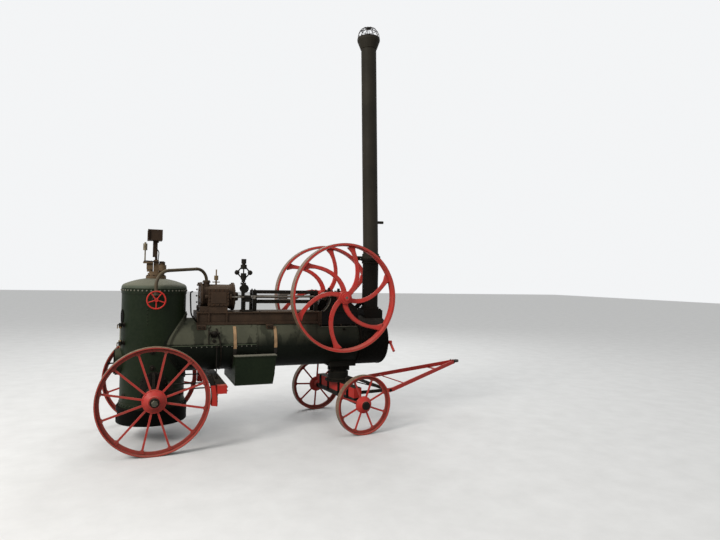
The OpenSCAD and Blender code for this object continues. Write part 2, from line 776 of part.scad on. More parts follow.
module guide_bars() {
    guide_x = cylinder_x + cylinder_len + 280;
    guide_end = crank_x - crank_throw - big_end_r - 75;
    gap = 46;
    bar_h = 46;
    rod_guide = [gov_x + 14, gov_x + 81];
    color(iron) at_engine() {
        for (s = [-1, 1]) {
            y0 = s > 0 ? 40 : -80;
            block([guide_x, y0, rod_z + gap], [guide_end, y0 + 40, rod_z + gap + bar_h]);
            block([guide_x, y0, rod_z - gap - bar_h], [guide_end, y0 + 40, rod_z - gap]);
            // Stands at both ends of the guides
            for (x = [guide_x, guide_end - 56])
                block([x, s > 0 ? 79 : -112, deck_z], [x + 56, s > 0 ? 112 : -79, rod_z + gap + bar_h]);
        }
        // The bracket that guides the valve's rod
        difference() {
            union() {
                block([gov_x - 19, -bed_half_w, deck_z], [gov_x + 112, valve_rod_y + 30, deck_z + 26]);
                for (x = rod_guide) translate([x, valve_rod_y, 0]) bar_z(9, deck_z + 20, rod_z - 58);
                block([gov_x - 19, valve_rod_y - 24, rod_z - 66],
                      [gov_x + 112, valve_rod_y + 24, rod_z - 50]);
                translate([0, valve_rod_y, rod_z]) bar_x(24, rod_guide[0] - 10, rod_guide[1] + 10);
                block([rod_guide[0] - 10, valve_rod_y - 14, rod_z - 52],
                      [rod_guide[1] + 10, valve_rod_y + 14, rod_z - 12]);
            }
            translate([0, valve_rod_y, rod_z]) bar_x(12 + seat, rod_guide[0] - 20, rod_guide[1] + 20);
        }
    }
}

module crosshead() {
    slipper = 45;
    half = 80;
    color(steel) at_engine() {
        translate([0, 0, rod_z]) bar_x(rod_r, cylinder_x + cylinder_len + 34, crosshead_x - half + 20);
        for (s = [-1, 1]) {
            z0 = rod_z + (s > 0 ? 28 : -slipper);
            block([crosshead_x - half, -76, z0], [crosshead_x + half, 76, z0 + slipper - 28]);
            block([crosshead_x - half + 20, s * 27 - 8, rod_z - 31],
                  [crosshead_x + half - 30, s * 27 + 8, rod_z + 31]);
        }
        block([crosshead_x - half, -34, rod_z - 31], [crosshead_x - half + 30, 34, rod_z + 31]);
        translate([crosshead_x, 0, rod_z]) bar_y(10, -40, 40);
    }
}

module connecting_rod() {
    // The rod stops just short of the big end's path
    reach = crank_throw + big_end_r + run;
    color(steel) at_engine() translate([crank_x, 0, crank_z]) rotate([0, -rod_tilt, 0]) difference() {
        union() {
            bar_x(17, -conrod_len - crank_throw + 20, -reach);
            bar_x(24, -reach - 40, -reach);
            translate([-conrod_len - crank_throw, 0, 0]) bar_y(26, -18, 18);
        }
        translate([-conrod_len - crank_throw, 0, 0]) bar_y(10 + seat, -19, 19);
    }
}

module crankshaft() {
    shaft_end = flywheel_y + flywheel_w / 2 + 30;
    web = 26;
    pin_half = 45;
    color(steel) at_engine() translate([crank_x, 0, crank_z]) rotate([0, -rod_tilt, 0]) {
        difference() {
            bar_y(shaft_r, -shaft_end, shaft_end);
            block([-60, -pin_half, -60], [60, pin_half, 60]);
        }
        for (s = [-1, 1]) {
            y0 = s > 0 ? pin_half : -pin_half - web;
            bar_y(62, y0, y0 + web);
            translate([-crank_throw, 0, 0]) bar_y(52, y0, y0 + web);
            block([-crank_throw, y0, -50], [0, y0 + web, 50]);
        }
        translate([-crank_throw, 0, 0]) {
            bar_y(crank_pin_r, -pin_half - eps, pin_half + eps);
            bar_y(big_end_r, -pin_half + 5, pin_half - 5);
        }
        // The eccentric with its strap
        translate([30, 0, 0]) bar_y(92, -150, -110);
    }
}

module eccentric_rod() {
    // The rod stops just short of the eccentric's path
    reach = 92 + 30 + run;
    joint_x = gov_x + 140;
    rod_y = -130;
    color(steel) at_engine() {
        translate([0, rod_y, rod_z + 6]) bar_x(13, joint_x, crank_x - reach);
        translate([0, valve_rod_y, rod_z]) bar_x(12, cylinder_x + 364, joint_x);
        block([joint_x - 16, valve_rod_y - 20, rod_z - 24], [joint_x + 16, rod_y + 14, rod_z + 26]);
    }
}

function spoke_turn(s) = -50 * pow(1 - s, 1.15);
function spoke_half(s) = 26 + 10 * pow(1 - s, 2) + 38 * pow(max(0, (s - 0.82) / 0.18), 2);

// One curved spoke of a flywheel as an outline, from the hub to the rim
function spoke_outline(r0, r1, grow, n = 10) = let (
    mid = [for (i = [0:n]) let (s = i / n, r = r0 + (r1 - r0) * s, a = spoke_turn(s))
        [r * cos(a), r * sin(a)]],
    dir = [for (i = [0:n]) let (d = mid[min(i + 1, n)] - mid[max(i - 1, 0)]) d / norm(d)])
    concat([for (i = [0:n]) mid[i] + (spoke_half(i / n) + grow) * [-dir[i][1], dir[i][0]]],
           [for (i = [n:-1:0]) mid[i] - (spoke_half(i / n) + grow) * [-dir[i][1], dir[i][0]]]);

module flywheel(side) {
    spokes = 6;
    first = 23.5;
    hub_r = 92;
    rim_in = flywheel_r - 44;
    edge_in = flywheel_r - 30;
    w = flywheel_w / 2;
    difference() {
        union() {
            turned_y([[-w, edge_in], [-w, flywheel_r], [w, flywheel_r], [w, edge_in],
                      [30, rim_in], [-30, rim_in]]);
            // Each spoke has a narrower middle part that stands out, so that its edges are eased
            for (i = [0:spokes - 1]) rotate([0, -first - i * 360 / spokes, 0]) {
                plate_xz(-16, 16, spoke_outline(hub_r - 30, rim_in + 12, 0));
                plate_xz(-24, 24, spoke_outline(hub_r - 18, rim_in + 5, -9));
            }
            bar_y(hub_r, -60, 60);
            bar_y(hub_r - 22, -80, 80);
        }
        bar_y(shaft_r, -100, 100);
    }
}

module flywheel_left() {
    color(red) at_engine() translate([crank_x, flywheel_y, crank_z]) flywheel(1);
}

module flywheel_right() {
    color(red) at_engine() translate([crank_x, -flywheel_y, crank_z]) flywheel(-1);
}

module main_bearings() {
    rear = crank_x - 258;
    front = bed_front_x;
    flank_r = crank_rise + 30;
    flank_x = rear - sqrt(pow(flank_r, 2) - pow(crank_rise - 4, 2));
    color(iron) at_engine() for (s = [-1, 1]) {
        y0 = s > 0 ? 176 : -bed_half_w;
        y1 = s > 0 ? bed_half_w : -176;
        difference() {
            union() {
                plate_xz(y0, y1, concat(
                    [[front, deck_z + seat], [front, deck_z + 26], [crank_x + 76, crank_z + 20]],
                    [[crank_x - 76, crank_z + 40]],
                    arc(flank_x, crank_z, flank_r, 0, -asin((crank_rise - 4) / flank_r), 10),
                    [[rear, deck_z + seat]]));
                translate([crank_x, 0, crank_z]) bar_y(86, y0 - 6, y1 + 6);
                translate([crank_x, (y0 + y1) / 2, 0]) bar_z(20, crank_z + 80, crank_z + 122);
            }
            translate([crank_x, 0, crank_z]) bar_y(shaft_r + axle_fit, y0 - 10, y1 + 10);
        }
    }
}

module governor_stand() {
    color(iron) at_engine() translate([gov_x, gov_y, 0]) difference() {
        union() {
            bar_z(44, deck_z, deck_z + 18);
            bar_z(25, deck_z + 17, deck_z + 399);
            bar_z(38, deck_z + 372, deck_z + 399);
            // The bevel gear's housing and the belt pulley
            translate([0, 0, deck_z + 318]) {
                bar_y(44, -40, 44);
                bar_y(16, -92, -39);
                bar_y(60, -92, -68);
            }
        }
        bar_z(9, deck_z + 300, deck_z + 401);
    }
}

module governor_head() {
    ball = [90, deck_z + 538];
    thick = 8;
    color(iron) at_engine() translate([gov_x, gov_y, 0]) {
        bar_z(9 - axle_fit, deck_z + 302, deck_z + 650);
        bar_z(26, deck_z + 404, deck_z + 440);
        bar_z(38, deck_z + 440, deck_z + 530);
        bar_z(42, deck_z + 585, deck_z + 648);
        bar_z(24, deck_z + 640, deck_z + 664);
        bar_z(34, deck_z + 662, deck_z + 726);
        for (turn = [0, 180]) rotate([0, 0, turn]) {
            translate([ball[0], 0, ball[1]]) sphere(r = 34);
            plate_xz(-thick, thick, [[20, deck_z + 636], [ball[0] + 8, ball[1] + 4],
                                     [ball[0] - 10, ball[1] - 4], [20, deck_z + 612]]);
            plate_xz(-thick, thick, [[20, deck_z + 462], [ball[0] - 8, ball[1] + 6],
                                     [ball[0] + 8, ball[1] - 6], [20, deck_z + 444]]);
        }
    }
}

module check_valve() {
    valve_x = 735;
    turn = 65;
    color(iron) at_engine() difference() {
        translate([valve_x, 0, barrel_z]) rotate([turn, 0, 0]) {
            bar_z(46, barrel_r - 20, barrel_r + 14);
            bar_z(22, barrel_r - 20, barrel_r + 70);
            translate([0, 0, barrel_r + 62]) sphere(r = 34);
            translate([0, 0, barrel_r + 62]) bar_x(16, -70, 70);
            translate([-60, 0, barrel_r + 62]) bar_x(28, -14, 0);
        }
        barrel_form(seat);
    }
}

// Tank

module tank() {
    room = strap_t + 2 * seat;
    color(boiler_green) at_engine() difference() {
        union() {
            // The front end slopes in towards the floor
            plate_xz(-tank_half_w, tank_half_w, [
                [tank_x, tank_base_z], [tank_x + tank_len - 42, tank_base_z],
                [tank_x + tank_len - 20, tank_base_z + tank_h / 3],
                [tank_x + tank_len, tank_base_z + tank_h], [tank_x, tank_base_z + tank_h]]);
            block([tank_x - 8, -tank_half_w - 8, tank_base_z + tank_h - 26],
                  [tank_x + tank_len + 8, tank_half_w + 8, tank_base_z + tank_h]);
        }
        translate([0, 0, barrel_z]) bar_x(barrel_r + room, 0, lap_x);
        translate([0, 0, barrel_z]) bar_x(front_ring_r + room, lap_x - eps, barrel_front_x);
    }
}

module tank_straps() {
    color(ochre) at_engine() for (x = [tank_x + 10, tank_x + tank_len + 13])
        translate([x, 0, barrel_z]) {
            inner_r = (x < lap_x ? barrel_r : front_ring_r) + seat;
            open = asin((bed_half_w + 12) / inner_r);
            rotate([0, 90, 0]) rotate([0, 0, 180 + open]) rotate_extrude(angle = 360 - 2 * open)
                translate([inner_r, -strap_w / 2]) square([strap_t, strap_w]);
        }
}

// Running gear

module axle_brackets() {
    pad_t = 15;
    pad_r = 160;
    pad_z = rear_r + 120;
    face_y = firebox_r + pad_t + 14;
    journal_y = rear_track - 152;
    end_y = rear_track + 86;
    color(iron) at_engine() difference() {
        for (s = [-1, 1]) scale([1, s, 1]) {
            // The arched pad follows the firebox
            intersection() {
                bar_z(firebox_r + pad_t, firebox_base_z + seat, dome_seam_z);
                plate_xz(firebox_r - 90, firebox_r + 40, concat(
                    [[-pad_r, firebox_base_z + seat]], [[pad_r, firebox_base_z + seat]],
                    arc(0, pad_z, pad_r, 0, 180, 16)));
            }
            translate([0, 0, rear_r]) {
                turned_y([[firebox_r - 30, 0], [firebox_r - 30, 104], [face_y, 100], [journal_y - 12, 56],
                          [journal_y - 5, 56], [journal_y - 5, axle_r], [end_y, axle_r], [end_y, 57],
                          [end_y + 34, 52], [end_y + 34, 0]]);
                // The upright rib, sloping down to the boss
                rotate([0, 0, 90]) plate_xz(-15, 15, [
                    [firebox_r - 30, 30], [firebox_r + 150, 30], [firebox_r + 150, 66],
                    [firebox_r + pad_t + 26, 262], [firebox_r - 30, 262]]);
            }
        }
        firebox_form(seat);
        bar_z(firebox_r + plate_t + seat, firebox_base_z - eps, firebox_base_z + 60 + seat);
        bar_z(firebox_r + plate_t + seat, dome_seam_z - 70 - seat, dome_seam_z + 10);
        bar_z(ashpan_r + run, ashpan_base_z - eps, firebox_base_z + seat);
    }
}

// A spoked wheel about local Y, with its outer side towards +Y
module spoked_wheel(radius, tyre_w, bore_r, hub, spokes, first, spoke_w) {
    tyre_t = 14;
    rib = 42;
    difference() {
        union() {
            turned_y([[-tyre_w / 2, radius - tyre_t], [-tyre_w / 2, radius], [tyre_w / 2, radius],
                      [tyre_w / 2, radius - tyre_t], [9, radius - tyre_t - 4], [9, radius - tyre_t - rib],
                      [-9, radius - tyre_t - rib], [-9, radius - tyre_t - 4]]);
            for (i = [0:spokes - 1]) rotate([0, -first - i * 360 / spokes, 0]) {
                block([hub[2][1] - 10, -7, -spoke_w / 2], [radius - tyre_t - 20, 7, spoke_w / 2]);
                // The spoke's widened foot on the rim's rib
                block([radius - tyre_t - rib - 8, -14, -spoke_w], [radius - tyre_t - 10, 14, spoke_w]);
            }
            turned_y(concat([for (h = hub) h], [[hub[len(hub) - 1][0], 0], [hub[0][0], 0]]));
        }
        bar_y(bore_r, hub[0][0] - 5, hub[len(hub) - 1][0] + 5);
    }
}

rear_hub = [[-150, 70], [-150, 78], [-30, 82], [-16, 140], [16, 140], [62, 76], [82, 70]];
front_hub = [[-100, 54], [-100, 60], [-26, 66], [-14, 116], [14, 116], [46, 60], [60, 54]];

module rear_wheel(side) {
    color(red) at_engine() translate([0, side * rear_track, rear_r]) scale([1, side, 1])
        spoked_wheel(rear_r, rear_tyre_w, axle_r + axle_fit, rear_hub, 12, 18.3, 24);
}

module rear_wheel_left() { rear_wheel(1); }
module rear_wheel_right() { rear_wheel(-1); }

// The two front wheels came to rest at different turns
function front_first(side) = side > 0 ? 41 : 24.5;

module front_wheel(side) {
    color(red) at_carriage() translate([0, side * front_track, front_r]) scale([1, side, 1])
        spoked_wheel(front_r, front_tyre_w, front_axle_r + axle_fit, front_hub, 8, front_first(side), 24);
}

module front_wheel_left() { front_wheel(1); }
module front_wheel_right() { front_wheel(-1); }

module brake_gear() {
    shoe_r = rear_r + brake_gap;
    shoe_half = 42;
    shoe_thick = 40;
    // Angles of the block's ends, seen from the axle
    a0 = -8;
    a1 = 24;
    steps = 12;
    growth = 26;
    iron_t = 12;
    beam = [shoe_r + 62, shoe_r + 180];
    beam_half = rear_track + shoe_half;
    function outer(t) = shoe_r + shoe_thick + growth * (1 - t);
    function edge(extra) = [for (i = [steps:-1:0]) let (t = i / steps, a = a0 + (a1 - a0) * t)
        (outer(t) + extra) * [cos(a), sin(a)]];
    color(red) at_engine() {
        for (s = [-1, 1]) translate([0, s * rear_track, rear_r])
            plate_xz(-shoe_half, shoe_half, concat(arc(0, 0, shoe_r, a0, a1, steps), edge(0)));
        block([beam[0], -beam_half, rear_r + 47], [beam[1], beam_half, rear_r + 150]);
    }
    color(iron) at_engine() difference() {
        for (s = [-1, 1]) scale([1, s, 1]) {
            // Iron backing of the block
            translate([0, rear_track, rear_r]) difference() {
                plate_xz(-26, 26, concat(arc(0, 0, shoe_r + 24, a0 - 2, a1 + 1, steps), edge(iron_t)));
                plate_xz(-27, 27, concat(arc(0, 0, shoe_r - 10, a0 - 6, a1 + 6, steps),
                    [for (i = [steps:-1:0]) let (t = i / steps, a = a0 - 6 + (a1 - a0 + 12) * t)
                        outer(t) * [cos(a), sin(a)]]));
            }
            // Hanger from the barrel down to the beam, with its eye
            translate([shoe_r + 111, barrel_r + 16, 0]) {
                bar_z(8, rear_r + 149, barrel_z + 10);
                block([-14, -60, barrel_z - 14], [14, 14, barrel_z + 14]);
                bar_z(20, rear_r + 149, rear_r + 170);
            }
            // Pull rods and their crank at the firebox
            for (z = [rear_r + 66, rear_r + 132]) translate([0, 504, z]) bar_x(9, 200, beam[0] + 1);
            block([166, 380, rear_r + 54], [226, 516, rear_r + 146]);
        }
        firebox_form(seat);
        barrel_form(seat);
    }
}

module front_pedestal() {
    plate_z = beam_top_z + run;
    neck_r = 97;
    body_r = 148;
    body_top = plate_z + 132;
    color(soot) at_engine() difference() {
        union() {
            translate([wheelbase, 0, 0]) {
                rotate_extrude() polygon(concat(
                    [[0, plate_z], [200, plate_z], [200, plate_z + turntable_t],
                     [body_r + 22, plate_z + turntable_t], [body_r + 22, plate_z + 34],
                     [body_r, plate_z + 46], [body_r, body_top]],
                    arc(body_r + 6, body_top + 58, 57, 264, 180, 8),
                    [[neck_r, body_top + 60], [neck_r, barrel_z - 200], [0, barrel_z - 200]]));
                // The saddle under the barrel, and two ribs along it
                block([-200, -190, barrel_z - front_ring_r - 22], [200, 190, barrel_z - front_ring_r + 60]);
                for (s = [-1, 1])
                    block([-150, s * 60 - 10, body_top + 20], [150, s * 60 + 10, barrel_z - 300]);
                bar_z(kingpin_r, beam_z + 8, plate_z + eps);
            }
        }
        translate([0, 0, barrel_z]) bar_x(front_ring_r + seat, lap_x, barrel_front_x);
        smokebox_form(seat);
    }
}

module front_carriage() {
    beam_half = 620;
    hound_x1 = draw_pivot_x + 26;
    axle_end = front_track + 64;
    color(iron) at_carriage() {
        // Side hounds with their feet on the beam, and the two cross rods
        difference() {
            for (s = [-1, 1]) {
                block([60, s * hound_y - 14, draw_pivot_z - 22],
                      [hound_x1, s * hound_y + 14, draw_pivot_z + 22]);
                block([60, s * hound_y - 45, draw_pivot_z - 50], [74, s * hound_y + 45, draw_pivot_z + 50]);
            }
        }
        translate([draw_pivot_x, 0, draw_pivot_z]) bar_y(14, -hound_y - 48, hound_y + 48);
        translate([draw_pivot_x - 62, 0, draw_pivot_z]) bar_y(12, -hound_y, hound_y);
        // Slanted stays from the beam's brackets to the cross rods
        for (s = [-1, 1]) scale([1, s, 1]) {
            block([-30, 292, beam_top_z - eps], [60, 308, beam_top_z + 100]);
            for (z = [0, 44]) plate_xz(293, 307, [
                [40, beam_top_z + 40 + z], [40, beam_top_z + 56 + z],
                [draw_pivot_x - 54, draw_pivot_z + 9 + z / 8], [draw_pivot_x - 54, draw_pivot_z - 7]]);
        }
        // The axle with its journals and end caps
        block([-axle_bar, -front_track + 120, front_r - axle_bar],
              [axle_bar, front_track - 120, beam_z + eps]);
        for (s = [-1, 1]) translate([0, 0, front_r]) scale([1, s, 1])
            turned_y([[front_track - 121, 0], [front_track - 121, 44], [front_track - 105, 44],
                      [front_track - 105, front_axle_r], [axle_end, front_axle_r], [axle_end, 58],
                      [axle_end + 30, 52], [axle_end + 30, 0]]);
    }
    color(red) at_carriage() difference() {
        block([-60, -beam_half, beam_z], [60, beam_half, beam_top_z]);
        bar_z(kingpin_r + axle_fit, beam_z - eps, beam_top_z + eps);
    }
}

module drawbar() {
    pivot_y = hound_y + 14 + run;
    bar_t = 18;
    eye_y = 4;
    cross = [draw_len * 0.7, draw_len * 0.7 + 40];
    tie_x = draw_len * 0.205;
    // Distance of a bar's inner face from the middle
    function bar_in(x) = pivot_y + (eye_y - pivot_y) * (x - draw_straight) / (draw_len - 30 - draw_straight);
    color(red) at_carriage() translate([draw_pivot_x, 0, draw_pivot_z])
        rotate([0, -draw_rest, 0]) difference() {
        union() {
            for (s = [-1, 1]) {
                scale([1, s, 1]) translate([0, 0, -draw_bar_h / 2]) linear_extrude(draw_bar_h)
                    polygon([[0, pivot_y], [0, pivot_y + bar_t], [draw_straight, pivot_y + bar_t],
                             [draw_len - 30, eye_y + bar_t], [draw_len - 30, eye_y],
                             [draw_straight, pivot_y]]);
                scale([1, s, 1]) bar_y(32, pivot_y, pivot_y + bar_t);
            }
            translate([draw_len, 0, 0]) bar_z(eye_r, -eye_t / 2, eye_t / 2);
            half = bar_in(cross[0]) + 4;
            block([cross[0], -half, -draw_bar_h / 2], [cross[1], half, -draw_bar_h / 2 + 12]);
            translate([tie_x, 0, 0]) bar_y(9, -bar_in(tie_x) - 6, bar_in(tie_x) + 6);
        }
        bar_y(14 + seat, -pivot_y - 60, pivot_y + 60);
        translate([draw_len, 0, 0]) bar_z(eye_bore_r, -60, 60);
    }
}

firebox_shell();
dome_cap();
ashpan();
grate();
fire_door();
barrel();
tube_plate();
smokebox();
smokebox_door();
chimney_base();
chimney_stack();
spark_arrestor();
safety_valve();
chimney_crutch();
whistle();
water_gauge();
stop_valve();
steam_pipe();
exhaust_pipe();
engine_bed();
engine_cylinder();
valve_chest();
lubricator();
guide_bars();
crosshead();
connecting_rod();
eccentric_rod();
crankshaft();
flywheel_left();
flywheel_right();
main_bearings();
governor_stand();
governor_head();
check_valve();
tank();
tank_straps();
axle_brackets();
rear_wheel_left();
rear_wheel_right();
brake_gear();
front_pedestal();
front_carriage();
drawbar();
front_wheel_left();
front_wheel_right();
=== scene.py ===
"""Portable steam engine on four iron wheels: finishes, rivets, bolts and small fittings."""
import json
from math import asin, cos, hypot, pi, radians, sin, sqrt

import bmesh
import bpy
from mathutils import Matrix, Vector


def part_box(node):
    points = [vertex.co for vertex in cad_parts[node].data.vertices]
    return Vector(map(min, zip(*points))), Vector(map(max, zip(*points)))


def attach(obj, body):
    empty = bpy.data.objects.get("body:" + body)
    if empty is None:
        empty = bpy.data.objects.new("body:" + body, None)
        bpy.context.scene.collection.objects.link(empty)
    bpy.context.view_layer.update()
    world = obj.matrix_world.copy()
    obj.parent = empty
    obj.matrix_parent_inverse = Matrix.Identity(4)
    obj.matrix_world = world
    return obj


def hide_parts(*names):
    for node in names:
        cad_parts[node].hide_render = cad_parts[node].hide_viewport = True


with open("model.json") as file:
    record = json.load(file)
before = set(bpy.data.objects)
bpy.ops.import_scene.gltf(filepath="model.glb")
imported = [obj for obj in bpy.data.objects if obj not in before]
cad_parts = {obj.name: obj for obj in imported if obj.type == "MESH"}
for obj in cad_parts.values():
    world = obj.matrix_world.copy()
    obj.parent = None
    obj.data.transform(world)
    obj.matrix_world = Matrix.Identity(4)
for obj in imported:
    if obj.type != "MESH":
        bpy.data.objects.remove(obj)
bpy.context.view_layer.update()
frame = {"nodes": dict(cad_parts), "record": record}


# Places, in metres. X is measured from the rear axle, forward to the drawbar.

def middle(node):
    low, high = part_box(node)
    return (low + high) / 2


def wheel_radius(node):
    low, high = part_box(node)
    return (high.z - low.z) / 2


REAR_AXLE = middle("rear_wheel_right")
CRANK = middle("flywheel_right")
FRONT_HUB = middle("front_wheel_right")
REAR_R = wheel_radius("rear_wheel_right")
FRONT_R = wheel_radius("front_wheel_right")
FLYWHEEL_R = wheel_radius("flywheel_right")
BARREL_Z = middle("tube_plate").z
DECK_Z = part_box("engine_bed")[1].z
ROD_Z = DECK_Z + 0.202
FIREBOX_R = 0.398
BARREL_R = 0.354
SMOKEBOX_R = 0.366
PLATE = 0.007
GIRTH_SEAM_X = 1.293
CHIMNEY_X = 3.117
FOLD_Z = 2.455
STACK_LEAN = radians(1.9)
STACK_LENGTH = 3.262
WHEELBASE = 2.623
STEER = radians(6)
BEAM_Z = 0.438
BEAM_HALF = 0.060
DRAW_PIVOT = (0.618, 0, 0.5)
DRAW_RISE = radians(9.5)
REAR_HUB_Y = 0.803
FRONT_HUB_Y = 0.795
# The angle of the first spoke, in degrees
REAR_SPOKE = 18.3
FRONT_SPOKE = {"right": 24.5, "left": 41.0}


def at(x, y, z):
    """A point from its distance ahead of the rear axle."""
    return Vector((x + REAR_AXLE.x, y, z))


def circle(count, first=0.0, last=360.0):
    """Angles in radians, spaced evenly; a full turn leaves its last one out."""
    whole = abs(last - first - 360) < 1e-6
    step = (last - first) / (count if whole else count - 1)
    return [radians(first + step * i) for i in range(count)]


def around(count, across, up=None, first=0.0, last=360.0):
    """Pairs of coordinates, spaced evenly round a circle or an upright oval."""
    return [(cos(a) * across, sin(a) * (up or across)) for a in circle(count, first, last)]


# Node trees

# The inputs of the old_paint group: four colours, then numbers
TONES = ("Paint", "Faded", "Dust", "Bare")
WEAR = ("Gloss", "Patch Size", "Fading", "Streaks", "Dust Amount", "Dust Reach", "Chips", "Shade And Dirt",
        "Rust Spots")


def link(output, target):
    output.id_data.links.new(output, target)


def put(tree, kind, inputs=None, **settings):
    """Adds a shader node, sets its options, and joins or sets its inputs by name or number."""
    node = tree.nodes.new("ShaderNode" + kind)
    for key, value in settings.items():
        setattr(node, key, value)
    for key, value in (inputs or {}).items():
        if isinstance(value, bpy.types.NodeSocket):
            link(value, node.inputs[key])
        else:
            node.inputs[key].default_value = value
    return node


def tree_of(*values):
    """The node tree of the first value that is the output of a node."""
    return next(value.id_data for value in values if isinstance(value, bpy.types.NodeSocket))


def calc(operation, a, b=0.0, clamp=False):
    inputs = {0: a, 1: b}
    return put(tree_of(a, b), "Math", inputs, operation=operation, use_clamp=clamp).outputs[0]


def plus(a, b, clamp=False):
    return calc("ADD", a, b, clamp)


def times(a, b):
    """The product of two values; of two masks, where both are 1."""
    return calc("MULTIPLY", a, b)


def over(value, limit):
    return calc("GREATER_THAN", value, limit)


def under(value, limit):
    return calc("LESS_THAN", value, limit)


def vector(operation, a, b=(0, 0, 0)):
    """A sum of vectors, with the outputs Vector and Value."""
    return put(tree_of(a, b), "VectorMath", {0: a, 1: b}, operation=operation).outputs


def spread(value, low, high, to_low=0.0, to_high=1.0):
    """Maps a value from low..high to another range, and stops at both ends."""
    inputs = {"Value": value, "From Min": low, "From Max": high, "To Min": to_low, "To Max": to_high}
    return put(tree_of(value), "MapRange", inputs, clamp=True).outputs[0]


def parts_of(point):
    return put(tree_of(point), "SeparateXYZ", {0: point}).outputs


def blend(factor, a, b, mode="MIX"):
    """One colour over another, by a factor."""
    inputs = {0: factor, 6: a, 7: b}
    return put(tree_of(factor, a, b), "Mix", inputs, data_type="RGBA", blend_type=mode).outputs[2]


def noise(where, scale, detail=4.0, rough=0.55):
    inputs = {"Vector": where, "Scale": scale, "Detail": detail, "Roughness": rough}
    return put(tree_of(where), "TexNoise", inputs).outputs["Fac"]


def stretched(where, amount):
    return put(tree_of(where), "Mapping", {"Vector": where, "Scale": amount}).outputs[0]


def object_place(tree):
    return put(tree, "TexCoord").outputs["Object"]


def object_parts(tree):
    """The X, Y and Z of the object coordinates, which are the frame's."""
    return parts_of(object_place(tree))


def colour(red, green, blue):
    """A colour as seen, 0 to 255, as the linear values that a shader takes."""
    def linear(c):
        c /= 255
        return c / 12.92 if c <= 0.04045 else ((c + 0.055) / 1.055) ** 2.4
    return (linear(red), linear(green), linear(blue), 1.0)


def new_group(name, inputs, outputs):
    """An empty shader group, from the start values of its inputs and the sizes of its outputs."""
    kinds = {1: "NodeSocketFloat", 3: "NodeSocketVector", 4: "NodeSocketColor"}
    group = bpy.data.node_groups.new(name, "ShaderNodeTree")
    for label, value in inputs.items():
        kind = kinds[len(value) if isinstance(value, tuple) else 1]
        group.interface.new_socket(label, in_out="INPUT", socket_type=kind).default_value = value
    for label, size in outputs.items():
        group.interface.new_socket(label, in_out="OUTPUT", socket_type=kinds[size])
    return group, group.nodes.new("NodeGroupInput").outputs, group.nodes.new("NodeGroupOutput").inputs


def use(tree, name, inputs=None):
    """Adds a node of the shader group of that name."""
    return put(tree, "Group", inputs, node_tree=bpy.data.node_groups[name]).outputs


def make_patches():
    """Soft uneven patches, as in old paint that has faded at different rates."""
    group, given, result = new_group("patches", {"Size": 0.3}, {"Patch": 1, "Speckle": 1})
    where = object_place(group)
    scale = calc("DIVIDE", 1.0, given["Size"])
    broad = noise(where, scale, 5.0, 0.6)
    fine = noise(where, times(scale, 14.0), 4.0, 0.65)
    link(spread(broad, 0.34, 0.66), result["Patch"])
    link(spread(fine, 0.42, 0.62), result["Speckle"])


def make_runs():
    """Streaks that rain has drawn down upright surfaces."""
    group, given, result = new_group("runs", {"Width": 0.03}, {"Streak": 1})
    where = object_place(group)
    scale = calc("DIVIDE", 1.0, given["Width"])
    thin = noise(stretched(where, (1.0, 1.0, 0.05)), scale, 3.0, 0.5)
    breaks = noise(stretched(where, (1.0, 1.0, 0.3)), 4.0, 3.0, 0.6)
    upright = parts_of(put(group, "NewGeometry").outputs["Normal"])
    side = spread(calc("ABSOLUTE", upright["Z"]), 0.85, 0.35)
    streak = times(spread(thin, 0.53, 0.70), spread(breaks, 0.38, 0.62))
    link(times(streak, side), result["Streak"])


def make_lying_dust():
    """Dust and bleaching on what faces the sky, uneven at its lower edge."""
    group, given, result = new_group("lying_dust", {"Reach": 0.3}, {"Dust": 1})
    height = parts_of(put(group, "NewGeometry").outputs["Normal"])["Z"]
    ragged = noise(object_place(group), 9.0, 5.0, 0.65)
    level = plus(height, times(calc("SUBTRACT", ragged, 0.5), 0.5))
    start = given["Reach"]
    link(spread(level, start, plus(start, 0.45)), result["Dust"])


def make_edges():
    """A mask along outer edges, where hands and weather have worn the paint through."""
    group, given, result = new_group("worn_edges", {"Radius": 0.004}, {"Edge": 1})
    soft = put(group, "Bevel", {"Radius": given["Radius"]}, samples=4).outputs[0]
    flat = put(group, "NewGeometry").outputs["Normal"]
    bend = spread(vector("DOT_PRODUCT", soft, flat)["Value"], 0.995, 0.86)
    ragged = noise(object_place(group), 38.0, 4.0, 0.7)
    link(times(bend, spread(ragged, 0.40, 0.60)), result["Edge"])


def make_corner_shade():
    """Darkening in corners and under rivet heads, from ambient occlusion: painted shade, and dirt."""
    group, given, result = new_group("corner_shade_and_dirt", {"Distance": 0.05}, {"Shade And Dirt": 1})
    open_air = put(group, "AmbientOcclusion", {"Distance": given["Distance"]}, samples=6)
    ragged = noise(object_place(group), 22.0, 4.0, 0.6)
    closed = spread(open_air.outputs["AO"], 0.92, 0.35)
    uneven = spread(ragged, 0.25, 0.6, 0.45, 1.0)
    link(times(closed, uneven), result["Shade And Dirt"])


def make_cast_skin():
    """The grainy skin of sand-cast iron, as a height."""
    group, given, result = new_group("cast_skin", {"Grain": 0.004}, {"Height": 1})
    where = object_place(group)
    scale = calc("DIVIDE", 1.0, given["Grain"])
    grain = noise(where, scale, 3.0, 0.6)
    waves = noise(where, times(scale, 0.12), 3.0, 0.5)
    link(plus(grain, times(waves, 1.5)), result["Height"])


